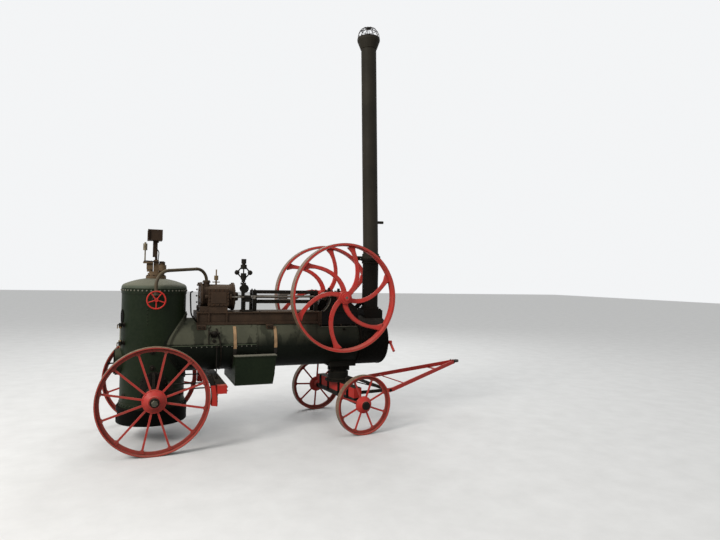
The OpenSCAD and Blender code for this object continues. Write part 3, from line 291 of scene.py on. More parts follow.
def make_tread():
    """Where a wheel's tyre has been rubbed bare, from its distance to the axle."""
    inputs = {"Centre": (0, 0, 0), "Across": (0, 1, 0), "Radius": 0.5}
    group, given, result = new_group("rubbed_tread", inputs, {"Tread": 1, "Inside": 1})
    offset = vector("SUBTRACT", object_place(group), given["Centre"])[0]
    along = vector("DOT_PRODUCT", offset, given["Across"])["Value"]
    inputs = {0: given["Across"], "Scale": along}
    sideways = put(group, "VectorMath", inputs, operation="SCALE").outputs[0]
    radial = vector("SUBTRACT", offset, sideways)[0]
    past = calc("SUBTRACT", vector("LENGTH", radial)["Value"], given["Radius"])
    link(spread(past, -0.006, -0.001), result["Tread"])
    band = times(spread(past, -0.075, -0.05), spread(past, -0.012, -0.018))
    link(band, result["Inside"])


def make_old_paint():
    """Paint that has faded, run, rusted and chipped outdoors."""
    inputs = dict.fromkeys(TONES, (1, 1, 1, 1)) | dict.fromkeys(WEAR, 0.4)
    group, given, result = new_group("old_paint", inputs, {"Color": 4, "Roughness": 1, "Height": 1})
    patch = use(group, "patches", {"Size": given["Patch Size"]})
    streak = use(group, "runs")["Streak"]
    dust = use(group, "lying_dust", {"Reach": given["Dust Reach"]})["Dust"]
    edge = use(group, "worn_edges")["Edge"]
    corner = use(group, "corner_shade_and_dirt")["Shade And Dirt"]
    where = object_place(group)
    spots = spread(noise(where, 31.0, 6.0, 0.7), 0.66, 0.74)
    tint = blend(times(patch["Patch"], given["Fading"]), given["Paint"], given["Faded"])
    tint = blend(times(streak, given["Streaks"]), tint, given["Faded"])
    tint = blend(times(dust, given["Dust Amount"]), tint, given["Dust"])
    tint = blend(times(patch["Speckle"], 0.05), tint, given["Dust"])
    # Painted shade: corners and the undersides of rivet heads darkened by ambient occlusion, with dirt
    shaded_grime = blend(1.0, tint, (0.32, 0.27, 0.22, 1.0), "MULTIPLY")
    tint = blend(times(corner, given["Shade And Dirt"]), tint, shaded_grime)
    rusted = times(spots, given["Rust Spots"])
    bare = calc("MAXIMUM", times(edge, given["Chips"]), rusted)
    tint = blend(bare, tint, given["Bare"])
    rough = plus(given["Gloss"], times(patch["Speckle"], 0.12))
    rough = plus(rough, times(dust, 0.25))
    worn = plus(corner, bare)
    rough = plus(rough, times(worn, 0.25), clamp=True)
    brush = noise(where, 60.0, 3.0, 0.6)
    dents = noise(where, 5.0, 2.0, 0.5)
    height = plus(times(brush, 0.25), dents)
    height = calc("SUBTRACT", height, times(bare, 0.5))
    link(tint, result["Color"])
    link(rough, result["Roughness"])
    link(height, result["Height"])


for make in (make_patches, make_runs, make_lying_dust, make_edges, make_corner_shade, make_cast_skin,
             make_tread, make_old_paint):
    make()


# Materials

def new_material(name):
    material = bpy.data.materials.new(name)
    material.use_nodes = True
    tree = material.node_tree
    shader = tree.nodes["Principled BSDF"]
    return material, tree, shader


def join(shader, tint, rough, height, strength, distance, metal=0.0, specular=0.5):
    """Joins colour, roughness and relief to the shader, and sets its constants."""
    inputs = {"Height": height, "Strength": strength, "Distance": distance}
    relief = put(tree_of(height), "Bump", inputs).outputs[0]
    for output, key in ((tint, "Base Color"), (rough, "Roughness"), (relief, "Normal")):
        link(output, shader.inputs[key])
    shader.inputs["Metallic"].default_value = metal
    shader.inputs["Specular IOR Level"].default_value = specular


def painted(name, values, metal=0.0, specular=0.22, bump=0.35, grain=0.0, part=None):
    """A material of old paint. Values fill the inputs of the old_paint group.

    A part is a mask and the colours that stand in where it is 1. A grain gives a cast skin.
    """
    material, tree, shader = new_material(name)
    if part:
        mask = part[0](tree)
        values = values | {key: blend(mask, values[key], tone) for key, tone in part[1].items()}
    coat = use(tree, "old_paint", values)
    height = coat["Height"]
    if grain:
        height = plus(height, use(tree, "cast_skin", {"Grain": grain})["Height"])
    join(shader, coat["Color"], coat["Roughness"], height, bump, 0.002 if grain else 0.004, metal, specular)
    return material


def tones(*colours):
    """Colours as seen, in the order of TONES."""
    return {key: colour(*seen) for key, seen in zip(TONES, colours)}


def wear(*numbers):
    """How far a surface has aged, and how much painted shade its corners take, in the order of WEAR."""
    return dict(zip(WEAR, numbers))


# Colours that several materials share, or that stand in on one part of a node
RED = tones((196, 46, 40), (170, 62, 52), (158, 118, 100), (98, 72, 60))
IRON = tones((20, 19, 16), (36, 32, 27), (78, 70, 60), (104, 80, 62))
SOOT = tones((6, 6, 5), (12, 11, 9), (52, 48, 42), (72, 54, 42))
DUSTY_BLACK = tones((26, 25, 22), (38, 36, 31), (64, 60, 52), (84, 66, 52))
BROWN = tones((50, 38, 28), (66, 50, 37), (108, 94, 78), (98, 66, 42))
GREEN = tones((18, 27, 15), (31, 40, 24), (76, 78, 62), (84, 64, 48))
TAN = tones((82, 66, 48), (108, 89, 66), (128, 110, 84), (92, 68, 48))
DARK_BROWN = tones((38, 27, 18), (54, 40, 28), (84, 70, 54), (82, 52, 34))
GLASS = tones((150, 150, 138), (120, 120, 108), (140, 136, 122), (120, 110, 96))
PALE = tones((112, 110, 98), (96, 94, 82), (132, 128, 114), (104, 88, 72))


def carriage_parts(tree):
    """X, Y and Z along the steered front carriage, from the turntable's centre."""
    offset = vector("SUBTRACT", object_place(tree), at(WHEELBASE, 0, 0))[0]
    turned_back = put(tree, "VectorRotate", {"Vector": offset, "Angle": -STEER}, rotation_type="Z_AXIS")
    return parts_of(turned_back.outputs[0])


# Masks that tell the parts of one node apart

def mask_past(axis, limit):
    """The mask of what lies past a limit along one axis of the frame."""
    return lambda tree: over(object_parts(tree)[axis], limit)


def mask_before(axis, limit):
    return lambda tree: under(object_parts(tree)[axis], limit)


VALVE_WHEEL = mask_before("Y", -0.62)
STRAP_LOW = mask_before("Z", 1.175)
# A painted highlight: pale colours along the tank's top edge
TANK_LIP_HIGHLIGHT = mask_past("Z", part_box("tank")[1].z - 0.010)
EYE_RING = mask_past("X", at(4.795, 0, 0).x)
BEARING_SADDLE = mask_past("X", at(2.262, 0, 0).x)


def glass_tube(tree):
    """The upright glass of the water gauge, between the two cocks."""
    z = object_parts(tree)["Z"]
    return times(over(z, 1.305), under(z, 1.465))


def brake_ends(tree):
    where = object_parts(tree)
    return times(over(calc("ABSOLUTE", where["Y"]), 0.755), under(where["Z"], 0.80))


def beam_panels(tree):
    """The wooden beam over its iron bottom plate, but for its dusty top."""
    where = carriage_parts(tree)
    face = BEAM_HALF + 0.0005
    sides = times(over(where["Z"], BEAM_Z + 0.026), under(where["Z"], BEAM_Z + 0.165))
    return times(sides, times(under(where["X"], face), over(where["X"], -face)))


def throat_flange(tree):
    """The oval flange round the barrel's mouth on the firebox."""
    where = parts_of(vector("SUBTRACT", object_place(tree), at(0, 0, BARREL_Z))[0])
    across = calc("DIVIDE", where["Y"], 0.386)
    up = calc("DIVIDE", where["Z"], 0.432)
    inside = under(plus(times(across, across), times(up, up)), 1.0)
    return times(inside, over(where["X"], 0.10))


# Paler paint on the dome's crown: dust, and a painted highlight
def dome_crown_dust_and_highlight(tree):
    return spread(object_parts(tree)["Z"], 1.99, 2.06)


def boiler_paint(name, part=None):
    return painted(name, GREEN | wear(0.40, 0.45, 0.55, 0.3, 0.75, 0.30, 0.5, 0.5, 0.15),
                   specular=0.09, part=part)


def black_paint(name, colours=SOOT):
    return painted(name, colours | wear(0.55, 0.3, 0.5, 0.3, 0.30, 0.55, 0.5, 0.5, 0.25), specular=0.03)


def dark_iron(name, metal=0.2, part=None):
    return painted(name, IRON | wear(0.46, 0.12, 0.7, 0.2, 0.4, 0.5, 0.6, 0.6, 0.5),
                   metal=metal, specular=0.09, part=part)


def rusty_casting(name, colours=BROWN, part=None):
    """Brown iron that has lost its paint, with a grainy sand-cast skin."""
    return painted(name, colours | wear(0.58, 0.14, 0.9, 0.5, 0.45, 0.5, 0.6, 0.7, 0.8),
                   specular=0.15, bump=0.45, grain=0.006, part=part)


def red_paint(name, part=None):
    return painted(name, RED | wear(0.40, 0.16, 0.7, 0.3, 0.35, 0.6, 0.7, 0.6, 0.35), part=part)


def wheel_red(name, centre, across, radius, rim_brown, reds):
    """Red wheel paint, worn to brown iron on the tread and on the inside of the rim."""
    material, tree, shader = new_material(name)
    coat = use(tree, "old_paint", reds | wear(0.42, 0.16, 0.75, 0.3, 0.35, 0.55, 0.75, 0.6, 0.45))
    worn = use(tree, "rubbed_tread", {"Centre": centre, "Across": across, "Radius": radius})
    edge = use(tree, "worn_edges", {"Radius": 0.007})["Edge"]
    scuffs = spread(noise(object_place(tree), 26.0, 6.0, 0.7), 0.35, 0.62)
    earth = blend(scuffs, colour(134, 121, 97), colour(94, 84, 68))
    rim = times(worn["Inside"], spread(scuffs, 0.0, 1.0, rim_brown, rim_brown * 0.5))
    # Pale edges on the spokes and rim: dusty worn paint, and a painted highlight
    tint = blend(times(edge, 0.5), coat["Color"], colour(186, 128, 112))
    tint = blend(rim, tint, colour(84, 64, 52))
    tint = blend(times(worn["Tread"], 0.92), tint, earth)
    join(shader, tint, coat["Roughness"], coat["Height"], 0.35, 0.003, specular=0.22)
    return material


def worked_steel(name, red_ends=False):
    """Machined steel under a film of old oil. Red ends are the crankshaft's, past the flywheels."""
    material, tree, shader = new_material(name)
    patch = use(tree, "patches", {"Size": 0.1})
    corner = use(tree, "corner_shade_and_dirt", {"Distance": 0.04})["Shade And Dirt"]
    where = object_place(tree)
    rings = noise(stretched(where, (180.0, 14.0, 14.0)), 1.0, 2.0, 0.5)
    tint = blend(patch["Patch"], colour(122, 118, 110), colour(92, 82, 70))
    # Painted shade: corners darkened by ambient occlusion, with oily dirt
    tint = blend(times(corner, 0.8), tint, colour(34, 29, 25))
    rough = spread(patch["Speckle"], 0.0, 1.0, 0.3, 0.5)
    if red_ends:
        past = over(calc("ABSOLUTE", parts_of(where)["Y"]), 0.48)
        flat = vector("MULTIPLY", vector("SUBTRACT", where, CRANK)[0], (1, 0, 1))[0]
        painted_end = times(past, over(vector("LENGTH", flat)["Value"], 0.020))
        tint = blend(painted_end, tint, RED["Paint"])
        metal = times(calc("SUBTRACT", 1.0, painted_end), 0.85)
    join(shader, tint, rough, rings, 0.12, 0.0006, metal=0.85)
    if red_ends:
        link(metal, shader.inputs["Metallic"])
    return material


def barrel_paint():
    """The barrel's green, bleached to grey above the lap seam, with ragged stained edges."""
    material, tree, shader = new_material("barrel_paint")
    coat = use(tree, "old_paint", tones((10, 14, 9), (19, 23, 16), (60, 61, 50), (84, 64, 48)) |
               wear(0.42, 0.4, 0.5, 0.2, 0.35, 0.1, 0.45, 0.5, 0.15))
    where = object_place(tree)
    place = parts_of(where)
    ragged = noise(stretched(where, (1.0, 1.0, 0.55)), 6.0, 7.0, 0.62)
    stains = noise(stretched(where, (1.3, 1.0, 0.5)), 3.2, 6.0, 0.6)
    height = plus(place["Z"], times(calc("SUBTRACT", ragged, 0.5), 0.10))
    # The bleaching ends sharply at the rear ring's lap, softly on the front ring
    rear_ring = under(place["X"], at(GIRTH_SEAM_X, 0, 0).x)
    sharp = spread(height, BARREL_Z + 0.020, BARREL_Z + 0.045)
    soft = spread(height, BARREL_Z - 0.02, BARREL_Z + 0.16)
    bleached = spread(rear_ring, 0.0, 1.0, soft, sharp)
    bleached = times(bleached, spread(stains, 0.43, 0.47, 0.42, 1.0))
    bleached = times(bleached, spread(ragged, 0.30, 0.62, 0.72, 1.0))
    to_front = spread(place["X"], at(2.35, 0, 0).x, at(1.75, 0, 0).x, 0.05, 1.0)
    bleached = times(bleached, to_front)
    tint = blend(bleached, coat["Color"], colour(82, 82, 68))
    # The pale edge of the lap on the near side, a painted highlight
    off_seam = calc("ABSOLUTE", calc("SUBTRACT", place["Z"], BARREL_Z + 0.014))
    seam = times(under(off_seam, 0.0035), under(place["Y"], 0.0))
    seam = times(times(seam, rear_ring), spread(ragged, 0.36, 0.48, 0.25, 0.8))
    tint = blend(seam, tint, colour(96, 104, 82))
    rough = plus(coat["Roughness"], times(bleached, 0.15), clamp=True)
    join(shader, tint, rough, coat["Height"], 0.35, 0.004, specular=0.07)
    return material


def dull_brass(name, clean, stained):
    """Brass gone brown, with a little of its colour left on the edges."""
    material, tree, shader = new_material(name)
    patch = use(tree, "patches", {"Size": 0.05})
    edge = use(tree, "worn_edges", {"Radius": 0.003})["Edge"]
    corner = use(tree, "corner_shade_and_dirt", {"Distance": 0.02})["Shade And Dirt"]
    tint = blend(patch["Patch"], colour(*clean), colour(*stained))
    tint = blend(edge, tint, colour(176, 150, 98))
    # Painted shade: corners darkened by ambient occlusion, with dirt
    tint = blend(corner, tint, colour(48, 40, 30))
    rough = spread(patch["Speckle"], 0.0, 1.0, 0.32, 0.5)
    join(shader, tint, rough, patch["Speckle"], 0.15, 0.001, metal=0.6)
    return material


FRESH_RED = tones((206, 50, 44), (184, 76, 66), (164, 126, 110), (98, 72, 60))
# A duller red: weathered paint on the rear wheels, and painted shade on the far front wheel
WEATHERED_AND_SHADED_RED = tones((184, 52, 46), (152, 66, 56), (164, 126, 110), (98, 72, 60))
CARRIAGE_ACROSS = (-sin(STEER), cos(STEER), 0.0)
REAR_RED = wheel_red("rear_wheel_red", REAR_AXLE, (0, 1, 0), REAR_R, 0.55, WEATHERED_AND_SHADED_RED)
FLYWHEEL_RED = wheel_red("flywheel_red", CRANK, (0, 1, 0), FLYWHEEL_R, 0.15, FRESH_RED)
MATERIALS = {
    "boiler_paint": boiler_paint("boiler_paint"),
    "dome_paint": painted(
        "dome_paint", tones((62, 70, 56), (80, 84, 70), (122, 119, 104), (84, 68, 54)) |
        wear(0.46, 0.25, 0.8, 0.4, 0.55, 0.35, 0.5, 0.6, 0.3),
        specular=0.12, part=(dome_crown_dust_and_highlight, tones((84, 88, 76), (106, 106, 92)))),
    "black_paint": black_paint("black_paint"),
    "stack_paint": painted(
        "stack_paint", tones((38, 36, 30), (54, 50, 42), (84, 72, 58), (90, 64, 46)) |
        wear(0.60, 0.5, 0.8, 0.8, 0.4, 0.4, 0.4, 0.4, 0.5), specular=0.10),
    "dark_iron": dark_iron("dark_iron"),
    "rusty_casting": rusty_casting("rusty_casting"),
    "red_paint": red_paint("red_paint"),
    "worked_steel": worked_steel("worked_steel"),
    "dull_brass": dull_brass("dull_brass", (128, 104, 66), (92, 76, 54)),
    "ochre_strap": painted(
        "ochre_strap", tones((172, 138, 100), (134, 106, 78), (156, 134, 106), (84, 66, 52)) |
        wear(0.5, 0.08, 0.8, 0.3, 0.3, 0.5, 0.5, 0.6, 0.5), part=(STRAP_LOW, IRON)),
    # Rivet heads and lap edges that have lost their paint and hold pale dust, paler still as painted
    # highlights
    "dust_and_highlight": painted(
        "dust_and_highlight", PALE | wear(0.6, 0.1, 0.8, 0.0, 0.6, 0.2, 0.0, 0.6, 0.4), specular=0.1),
    "worked_iron": dull_brass("worked_iron", (84, 84, 72), (52, 52, 44)),
    # Nodes whose look differs from their slot's, or changes from one part to another
    "barrel": barrel_paint(),
    "tank": boiler_paint("tank_paint", (TANK_LIP_HIGHLIGHT, PALE)),
    "firebox_shell": boiler_paint("firebox_paint", (throat_flange, tones((14, 20, 12), (22, 28, 18)))),
    "steam_pipe": painted("pipe_brown", tones((58, 49, 40), (88, 76, 54), (110, 98, 76), (104, 80, 58)) |
                          wear(0.5, 0.08, 0.8, 0.3, 0.5, 0.4, 0.4, 0.6, 0.4)),
    "whistle": dull_brass("pale_brass", (132, 122, 98), (92, 82, 64)),
    "engine_bed": rusty_casting("bed_casting", BROWN, (BEARING_SADDLE, SOOT)),
    "safety_valve": rusty_casting("valve_casting", TAN),
    "chimney_crutch": rusty_casting("crutch_casting", DARK_BROWN),
    "chimney_base": black_paint("dusty_black", DUSTY_BLACK),
    "smokebox": black_paint("smokebox_black", SOOT | {"Dust": colour(110, 107, 98)}),
    "front_pedestal": black_paint("pedestal_black", DUSTY_BLACK),
    "water_gauge": dark_iron("gauge_iron", 0.2, (glass_tube, GLASS)),
    "stop_valve": dark_iron("stop_valve_paint", 0.0, (VALVE_WHEEL, RED)),
    "brake_gear": dark_iron("brake_paint", 0.0, (brake_ends, RED)),
    "front_carriage": dark_iron("carriage_paint", 0.0, (beam_panels, RED)),
    "drawbar": red_paint("drawbar_paint", (EYE_RING, IRON)),
    "crankshaft": worked_steel("crank_steel", red_ends=True),
    "rear_wheel_left": REAR_RED,
    "rear_wheel_right": REAR_RED,
    "flywheel_left": FLYWHEEL_RED,
    "flywheel_right": FLYWHEEL_RED,
    # The far front wheel takes the duller red as painted shade
    "front_wheel_left": wheel_red("far_front_wheel_shaded_red", middle("front_wheel_left"), CARRIAGE_ACROSS,
                                  FRONT_R, 0.7, WEATHERED_AND_SHADED_RED),
    "front_wheel_right": wheel_red("front_wheel_red", FRONT_HUB, CARRIAGE_ACROSS, FRONT_R, 0.7, FRESH_RED),
}


def dress_nodes():
    """Gives every node of the frame the material of its slot, or its own."""
    for row in frame["record"]["subparts"]:
        name = row["node"]
        chosen = MATERIALS.get(name) or MATERIALS[row["material_slot"]]
        mesh = frame["nodes"][name].data
        mesh.materials.clear()
        mesh.materials.append(chosen)


# Shapes

def new_object(name, data):
    thing = bpy.data.objects.new(name, data)
    bpy.context.scene.collection.objects.link(thing)
    return thing


def ring_of(shape, centre, side, up, radius, sides):
    return [shape.verts.new(centre + (side * cos(a) + up * sin(a)) * radius) for a in circle(sides)]


def turned(shape, outline, place, way, sides=8):
    """Adds a turned form. The outline is (distance along, radius) pairs, from one end to the other."""
    way = Vector(way).normalized()
    side = way.orthogonal().normalized()
    up = way.cross(side)
    rings = []
    for along, radius in outline:
        centre = Vector(place) + way * along
        if radius < 1e-6:
            rings.append([shape.verts.new(centre)])
        else:
            rings.append(ring_of(shape, centre, side, up, radius, sides))
    for low, high in zip(rings, rings[1:]):
        for i in range(sides):
            j = (i + 1) % sides
            corners = (low[i % len(low)], low[j % len(low)], high[j % len(high)], high[i % len(high)])
            corners = list(dict.fromkeys(corners))
            if len(corners) > 2:
                shape.faces.new(corners)


def tube(shape, points, radius, sides=10, closed=False):
    """Adds a round bar or pipe along points."""
    points = [Vector(point) for point in points]
    count = len(points)
    steps = []
    for i in range(count):
        before = points[i - 1] if closed or i else points[i]
        after = points[(i + 1) % count] if closed or i < count - 1 else points[i]
        steps.append((after - before).normalized())
    side = steps[0].orthogonal().normalized()
    rings = []
    for point, step in zip(points, steps):
        side = (side - step * side.dot(step)).normalized()
        rings.append(ring_of(shape, point, side, step.cross(side), radius, sides))
    pairs = list(zip(rings, rings[1:]))
    if closed:
        pairs.append((rings[-1], rings[0]))
    for low, high in pairs:
        for i in range(sides):
            j = (i + 1) % sides
            shape.faces.new((low[i], low[j], high[j], high[i]))
    if not closed:
        shape.faces.new(rings[0])
        shape.faces.new(rings[-1])


def eased(corners, radius, steps=6):
    """A path with its inner corners rounded."""
    corners = [Vector(corner) for corner in corners]
    path = [corners[0]]
    for before, corner, after in zip(corners, corners[1:], corners[2:]):
        back = (before - corner).normalized() * radius
        on = (after - corner).normalized() * radius
        for i in range(steps + 1):
            t = i / steps
            path.append(corner + back * (1 - t) ** 2 + on * t ** 2)
    path.append(corners[-1])
    return path


def slab(shape, low, high, turn=None):
    """Adds a block between two corners, turned by a matrix where one is given."""
    corners = [Vector((x, y, z)) for x in (low[0], high[0]) for y in (low[1], high[1])
               for z in (low[2], high[2])]
    if turn is not None:
        corners = [turn @ corner for corner in corners]
    verts = [shape.verts.new(corner) for corner in corners]
    for face in ((0, 1, 3, 2), (4, 6, 7, 5), (0, 4, 5, 1), (2, 3, 7, 6), (0, 2, 6, 4), (1, 5, 7, 3)):
        shape.faces.new([verts[i] for i in face])


def piece(name, shape, finish, body="root", ease=0.0):
    """Makes a piece of the shape, in its finish, that moves with a body of the frame."""
    bmesh.ops.recalc_face_normals(shape, faces=shape.faces)
    mesh = bpy.data.meshes.new(name)
    shape.to_mesh(mesh)
    shape.free()
    for polygon in mesh.polygons:
        polygon.use_smooth = True
    mesh.set_sharp_from_angle(angle=radians(40))
    mesh.materials.append(MATERIALS[finish])
    thing = new_object(name, mesh)
    if ease:
        rounding = thing.modifiers.new("eased_edges", "BEVEL")
        rounding.width = ease
        rounding.segments = 2
        rounding.angle_limit = radians(40)
    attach(thing, body)
    return thing


def rivet(shape, place, way, radius=0.012):
    """One pan-headed rivet."""
    outline = [(radius * 0.35, radius * 0.94), (radius * 0.62, radius * 0.62), (radius * 0.72, 0)]
    turned(shape, [(-0.002, radius)] + outline, place, way)


def nut(shape, place, way, radius=0.014, stud=0.4):
    """One nut on its washer, with the end of its stud."""
    turned(shape, [(-0.002, radius * 1.3), (radius * 0.2, radius * 1.3), (radius * 0.2, 0)], place, way, 12)
    hexagon = [(0, radius), (radius * 0.95, radius), (radius * 1.1, radius * 0.85), (radius * 1.1, 0)]
    turned(shape, hexagon, place, way, 6)
    if stud:
        end = [(0, radius * 0.5), (radius * (1.1 + stud), radius * 0.5), (radius * (1.2 + stud), 0)]
        turned(shape, end, place, way)


CARRIAGE_TURN = Matrix.Rotation(STEER, 4, "Z")


def on_carriage(x, y, z):
    """A point from its place on the front carriage, ahead of the turntable's centre."""
    return at(WHEELBASE, 0, 0) + CARRIAGE_TURN @ Vector((x, y, z))


def carriage_way(x, y, z):
    return CARRIAGE_TURN @ Vector((x, y, z))


# Rivets

def firebox_rivets():
    shape, seam = bmesh.new(), bmesh.new()
    for ring, z, count, inside in ((seam, 1.940, 48, 0.0), (shape, 0.482, 44, 0.19)):
        for x, y in around(count, FIREBOX_R + PLATE):
            if abs(x) >= inside:
                rivet(ring, at(x, y, z), (x, y, 0))
    piece("dome_seam_rivets", seam, "dust_and_highlight")
    # Up the seam of the firebox's plate
    a = radians(-103)
    for i in range(9):
        spot = at(FIREBOX_R * cos(a), FIREBOX_R * sin(a), 1.52 + i * 0.045)
        rivet(shape, spot, (cos(a), sin(a), 0), 0.010)
    piece("firebox_rivets", shape, "boiler_paint")


def girth_rivets(shape, x, radius, count, hidden):
    """Rivets round the barrel, but for those at a (y, z) that the test called hidden names."""
    for y, z in around(count, radius):
        if not hidden(y, z):
            rivet(shape, at(x, y, BARREL_Z + z), (0, y, z), 0.011)


def barrel_rivets():
    shape, lap = bmesh.new(), bmesh.new()
    # Along the lap on the near side, and round both ends of the front ring
    a = radians(-1.0)
    for i in range(14):
        spot = at(0.45 + i * 0.065, -BARREL_R * cos(a), BARREL_Z + BARREL_R * sin(a))
        rivet(lap, spot, (0, -cos(a), sin(a)), 0.008)
    piece("lap_rivets", lap, "dust_and_highlight")
    for x, radius in ((GIRTH_SEAM_X, BARREL_R), (2.790, BARREL_R - PLATE)):
        girth_rivets(shape, x, radius, 42, lambda y, z: z > 0 and abs(y) < 0.30)
    # Round the oval flange that joins barrel and firebox
    out = FIREBOX_R + 2 * PLATE
    for y, z in around(44, 0.363, 0.408):
        if hypot(y, z) >= BARREL_R + 0.022:
            x = sqrt(out * out - y * y)
            rivet(shape, at(x, y, BARREL_Z + z), (x, y, 0), 0.011)
    piece("barrel_rivets", shape, "barrel")


def smokebox_rivets():
    shape = bmesh.new()
    for x, under_gap in ((2.858, 0.21), (3.236, 0.0)):
        girth_rivets(shape, x, SMOKEBOX_R, 44, lambda y, z: abs(y) < (0.175 if z > 0 else under_gap))
    piece("smokebox_rivets", shape, "black_paint")


def tank_rivets():
    low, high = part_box("tank")
    shape = bmesh.new()
    for side in (-1, 1):
        y = side * high.y
        for i in range(10):
            x = low.x + 0.035 + i * (high.x - low.x - 0.07) / 9
            rivet(shape, (x, y, high.z - 0.013), (0, side, 0), 0.007)
        y = side * (high.y - 0.008)
        for i in range(6):
            z = low.z + 0.03 + i * 0.058
            for x in (low.x + 0.026, high.x - 0.03 - 0.034 * (1 - (z - low.z) / 0.36)):
                rivet(shape, (x, y, z), (0, side, 0), 0.006)
    for i in range(12):
        rivet(shape, (low.x + 0.008, -0.42 + i * 0.84 / 11, low.z + 0.022), (-1, 0, 0), 0.006)
    piece("tank_rivets", shape, "boiler_paint")


def bracket_rivets():
    shape = bmesh.new()
    out = FIREBOX_R + 0.015
    places = [(x, 0.765 + z) for x, z in around(9, 0.142, first=0, last=180)]
    places += [(s * 0.142, z) for s in (-1, 1) for z in (0.700, 0.635, 0.570)]
    for side in (-1, 1):
        for x, z in places:
            y = side * sqrt(out * out - x * x)
            rivet(shape, at(x, y, z), (x, y, 0))
    piece("bracket_rivets", shape, "dark_iron")


# Bolts

def cylinder_bolts():
    shape = bmesh.new()
    low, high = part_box("engine_cylinder")
    for x, way in ((low.x, -1), (low.x + 0.456, 1)):
        for y, z in around(12, 0.176):
            nut(shape, (x, y, ROD_Z + z), (way, 0, 0), 0.012)
    for y in (-0.038, 0.038):
        nut(shape, (high.x, y, ROD_Z), (1, 0, 0), 0.009)
    # Round the cover of the valve chest
    low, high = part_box("valve_chest")
    face = low.y + 0.007
    left, right = at(0.658, 0, 0).x, at(0.930, 0, 0).x
    bottom, top = ROD_Z - 0.119, ROD_Z + 0.107
    for i in range(5):
        x = left + 0.018 + i * (right - left - 0.036) / 4
        for z in (bottom + 0.017, top - 0.017):
            nut(shape, (x, face, z), (0, -1, 0), 0.009)
    for i in range(1, 4):
        z = bottom + 0.017 + i * (top - bottom - 0.034) / 4
        for x in (left + 0.017, right - 0.017):
            nut(shape, (x, face, z), (0, -1, 0), 0.009)
    for y in (-0.237, -0.173):
        nut(shape, (high.x, y, ROD_Z), (1, 0, 0), 0.008)
    piece("cylinder_bolts", shape, "rusty_casting")


def bed_bolts():
    shape = bmesh.new()
    for side in (-1, 1):
        for x in (0.55, 0.606, 1.47, 1.51):
            nut(shape, at(x, side * 0.292, 1.458), (0, side, 0), 0.012)
        for x in (2.25, 2.40, 2.55, 2.70, 2.78):
            nut(shape, at(x, side * 0.254, 1.462), (0, side, 0), 0.012)
        for x in (0.60, 0.98, 1.36):
            nut(shape, at(x, side * 0.228, DECK_Z), (0, 0, 1), 0.010)
        # Feet of the main bearings and their caps
        for x in (2.29, 2.79):
            nut(shape, at(x, side * 0.208, DECK_Z + 0.022), (0, 0, 1), 0.013)
        for x in (-0.055, 0.055):
            nut(shape, (CRANK.x + x, side * 0.208, CRANK.z + 0.066), (0, 0, 1), 0.013, 1.2)
        # Ends of the guides
        for x in (1.308, 2.207):
            nut(shape, at(x, side * 0.096, ROD_Z + 0.092), (0, 0, 1), 0.011, 0.9)
    # The foot of the governor's stand
    for x in (1.112, 1.168):
        for y in (-0.158, -0.102):
            nut(shape, at(x, y, DECK_Z + 0.018), (0, 0, 1), 0.007)
    piece("bed_bolts", shape, "dark_iron")


def chimney_bolts():
    low, high = bmesh.new(), bmesh.new()
    for x, y in around(8, 0.138, first=22.5, last=382.5):
        if x >= -0.11:
            nut(low, at(CHIMNEY_X + x, y, FOLD_Z - 0.034), (0, 0, -1), 0.009, 0.3)
            nut(high, at(CHIMNEY_X + x, y, FOLD_Z + 0.034), (0, 0, 1), 0.009, 0.6)
    plinth = BARREL_Z + SMOKEBOX_R + 0.088
    for x in (-0.128, 0.128):
        for y in (-0.128, 0.128):
            nut(low, at(CHIMNEY_X + x, y, plinth), (0, 0, 1), 0.010)
    piece("chimney_base_bolts", low, "black_paint")
    piece("chimney_stack_bolts", high, "stack_paint", body="chimney")


def wheel_fasteners(body, hub, turn, side, spokes, bolts):
    """Nuts on both faces of a wheel's hub, and rivets where its spokes meet the rim.

    Spokes are (count, first angle, radius of the rim's rivets); bolts are (radius, reach, size).
    """
    shape = bmesh.new()
    way = turn @ Vector((0, side, 0))
    count, first, rim = spokes
    radius, reach, size = bolts
    for a in circle(count, first, first + 360):
        out = turn @ Vector((cos(a), 0, sin(a)))
        across = turn @ Vector((-sin(a), 0, cos(a)))
        for face in (1, -1):
            nut(shape, hub + out * radius + way * reach * face, way * face, size)
            for s in (-1, 1):
                rivet(shape, hub + out * rim + across * s * 0.015 + way * face * 0.014, way * face, 0.007)
    if body.startswith("rear"):
        bead = [(0.0165, 0.120), (0.024, 0.128), (0.024, 0.137), (0.018, 0.1395)]
        turned(shape, bead, hub, way, 48)
    piece(body + "_bolts", shape, "red_paint", body)


def wheel_bolts():
    for side, hand in ((-1, "right"), (1, "left")):
        hub = Vector((REAR_AXLE.x, side * REAR_HUB_Y, REAR_R))
        wheel_fasteners("rear_wheel_" + hand, hub, Matrix.Identity(4), side,
                        (12, REAR_SPOKE, REAR_R - 0.036), (0.122, 0.017, 0.009))
        shape = bmesh.new()
        turned(shape, [(0.0, 0.040), (0.012, 0.040), (0.018, 0.034), (0.018, 0)],
               hub + Vector((0, side * 0.120, 0)), (0, side, 0), 6)
        piece("wheel_" + hand + "_axle_nut", shape, "worked_iron")
    for side, hand in ((-1, "right"), (1, "left")):
        wheel_fasteners("front_wheel_" + hand, on_carriage(0, side * FRONT_HUB_Y, FRONT_R), CARRIAGE_TURN,
                        side, (8, FRONT_SPOKE[hand], FRONT_R - 0.036), (0.096, 0.0135, 0.008))


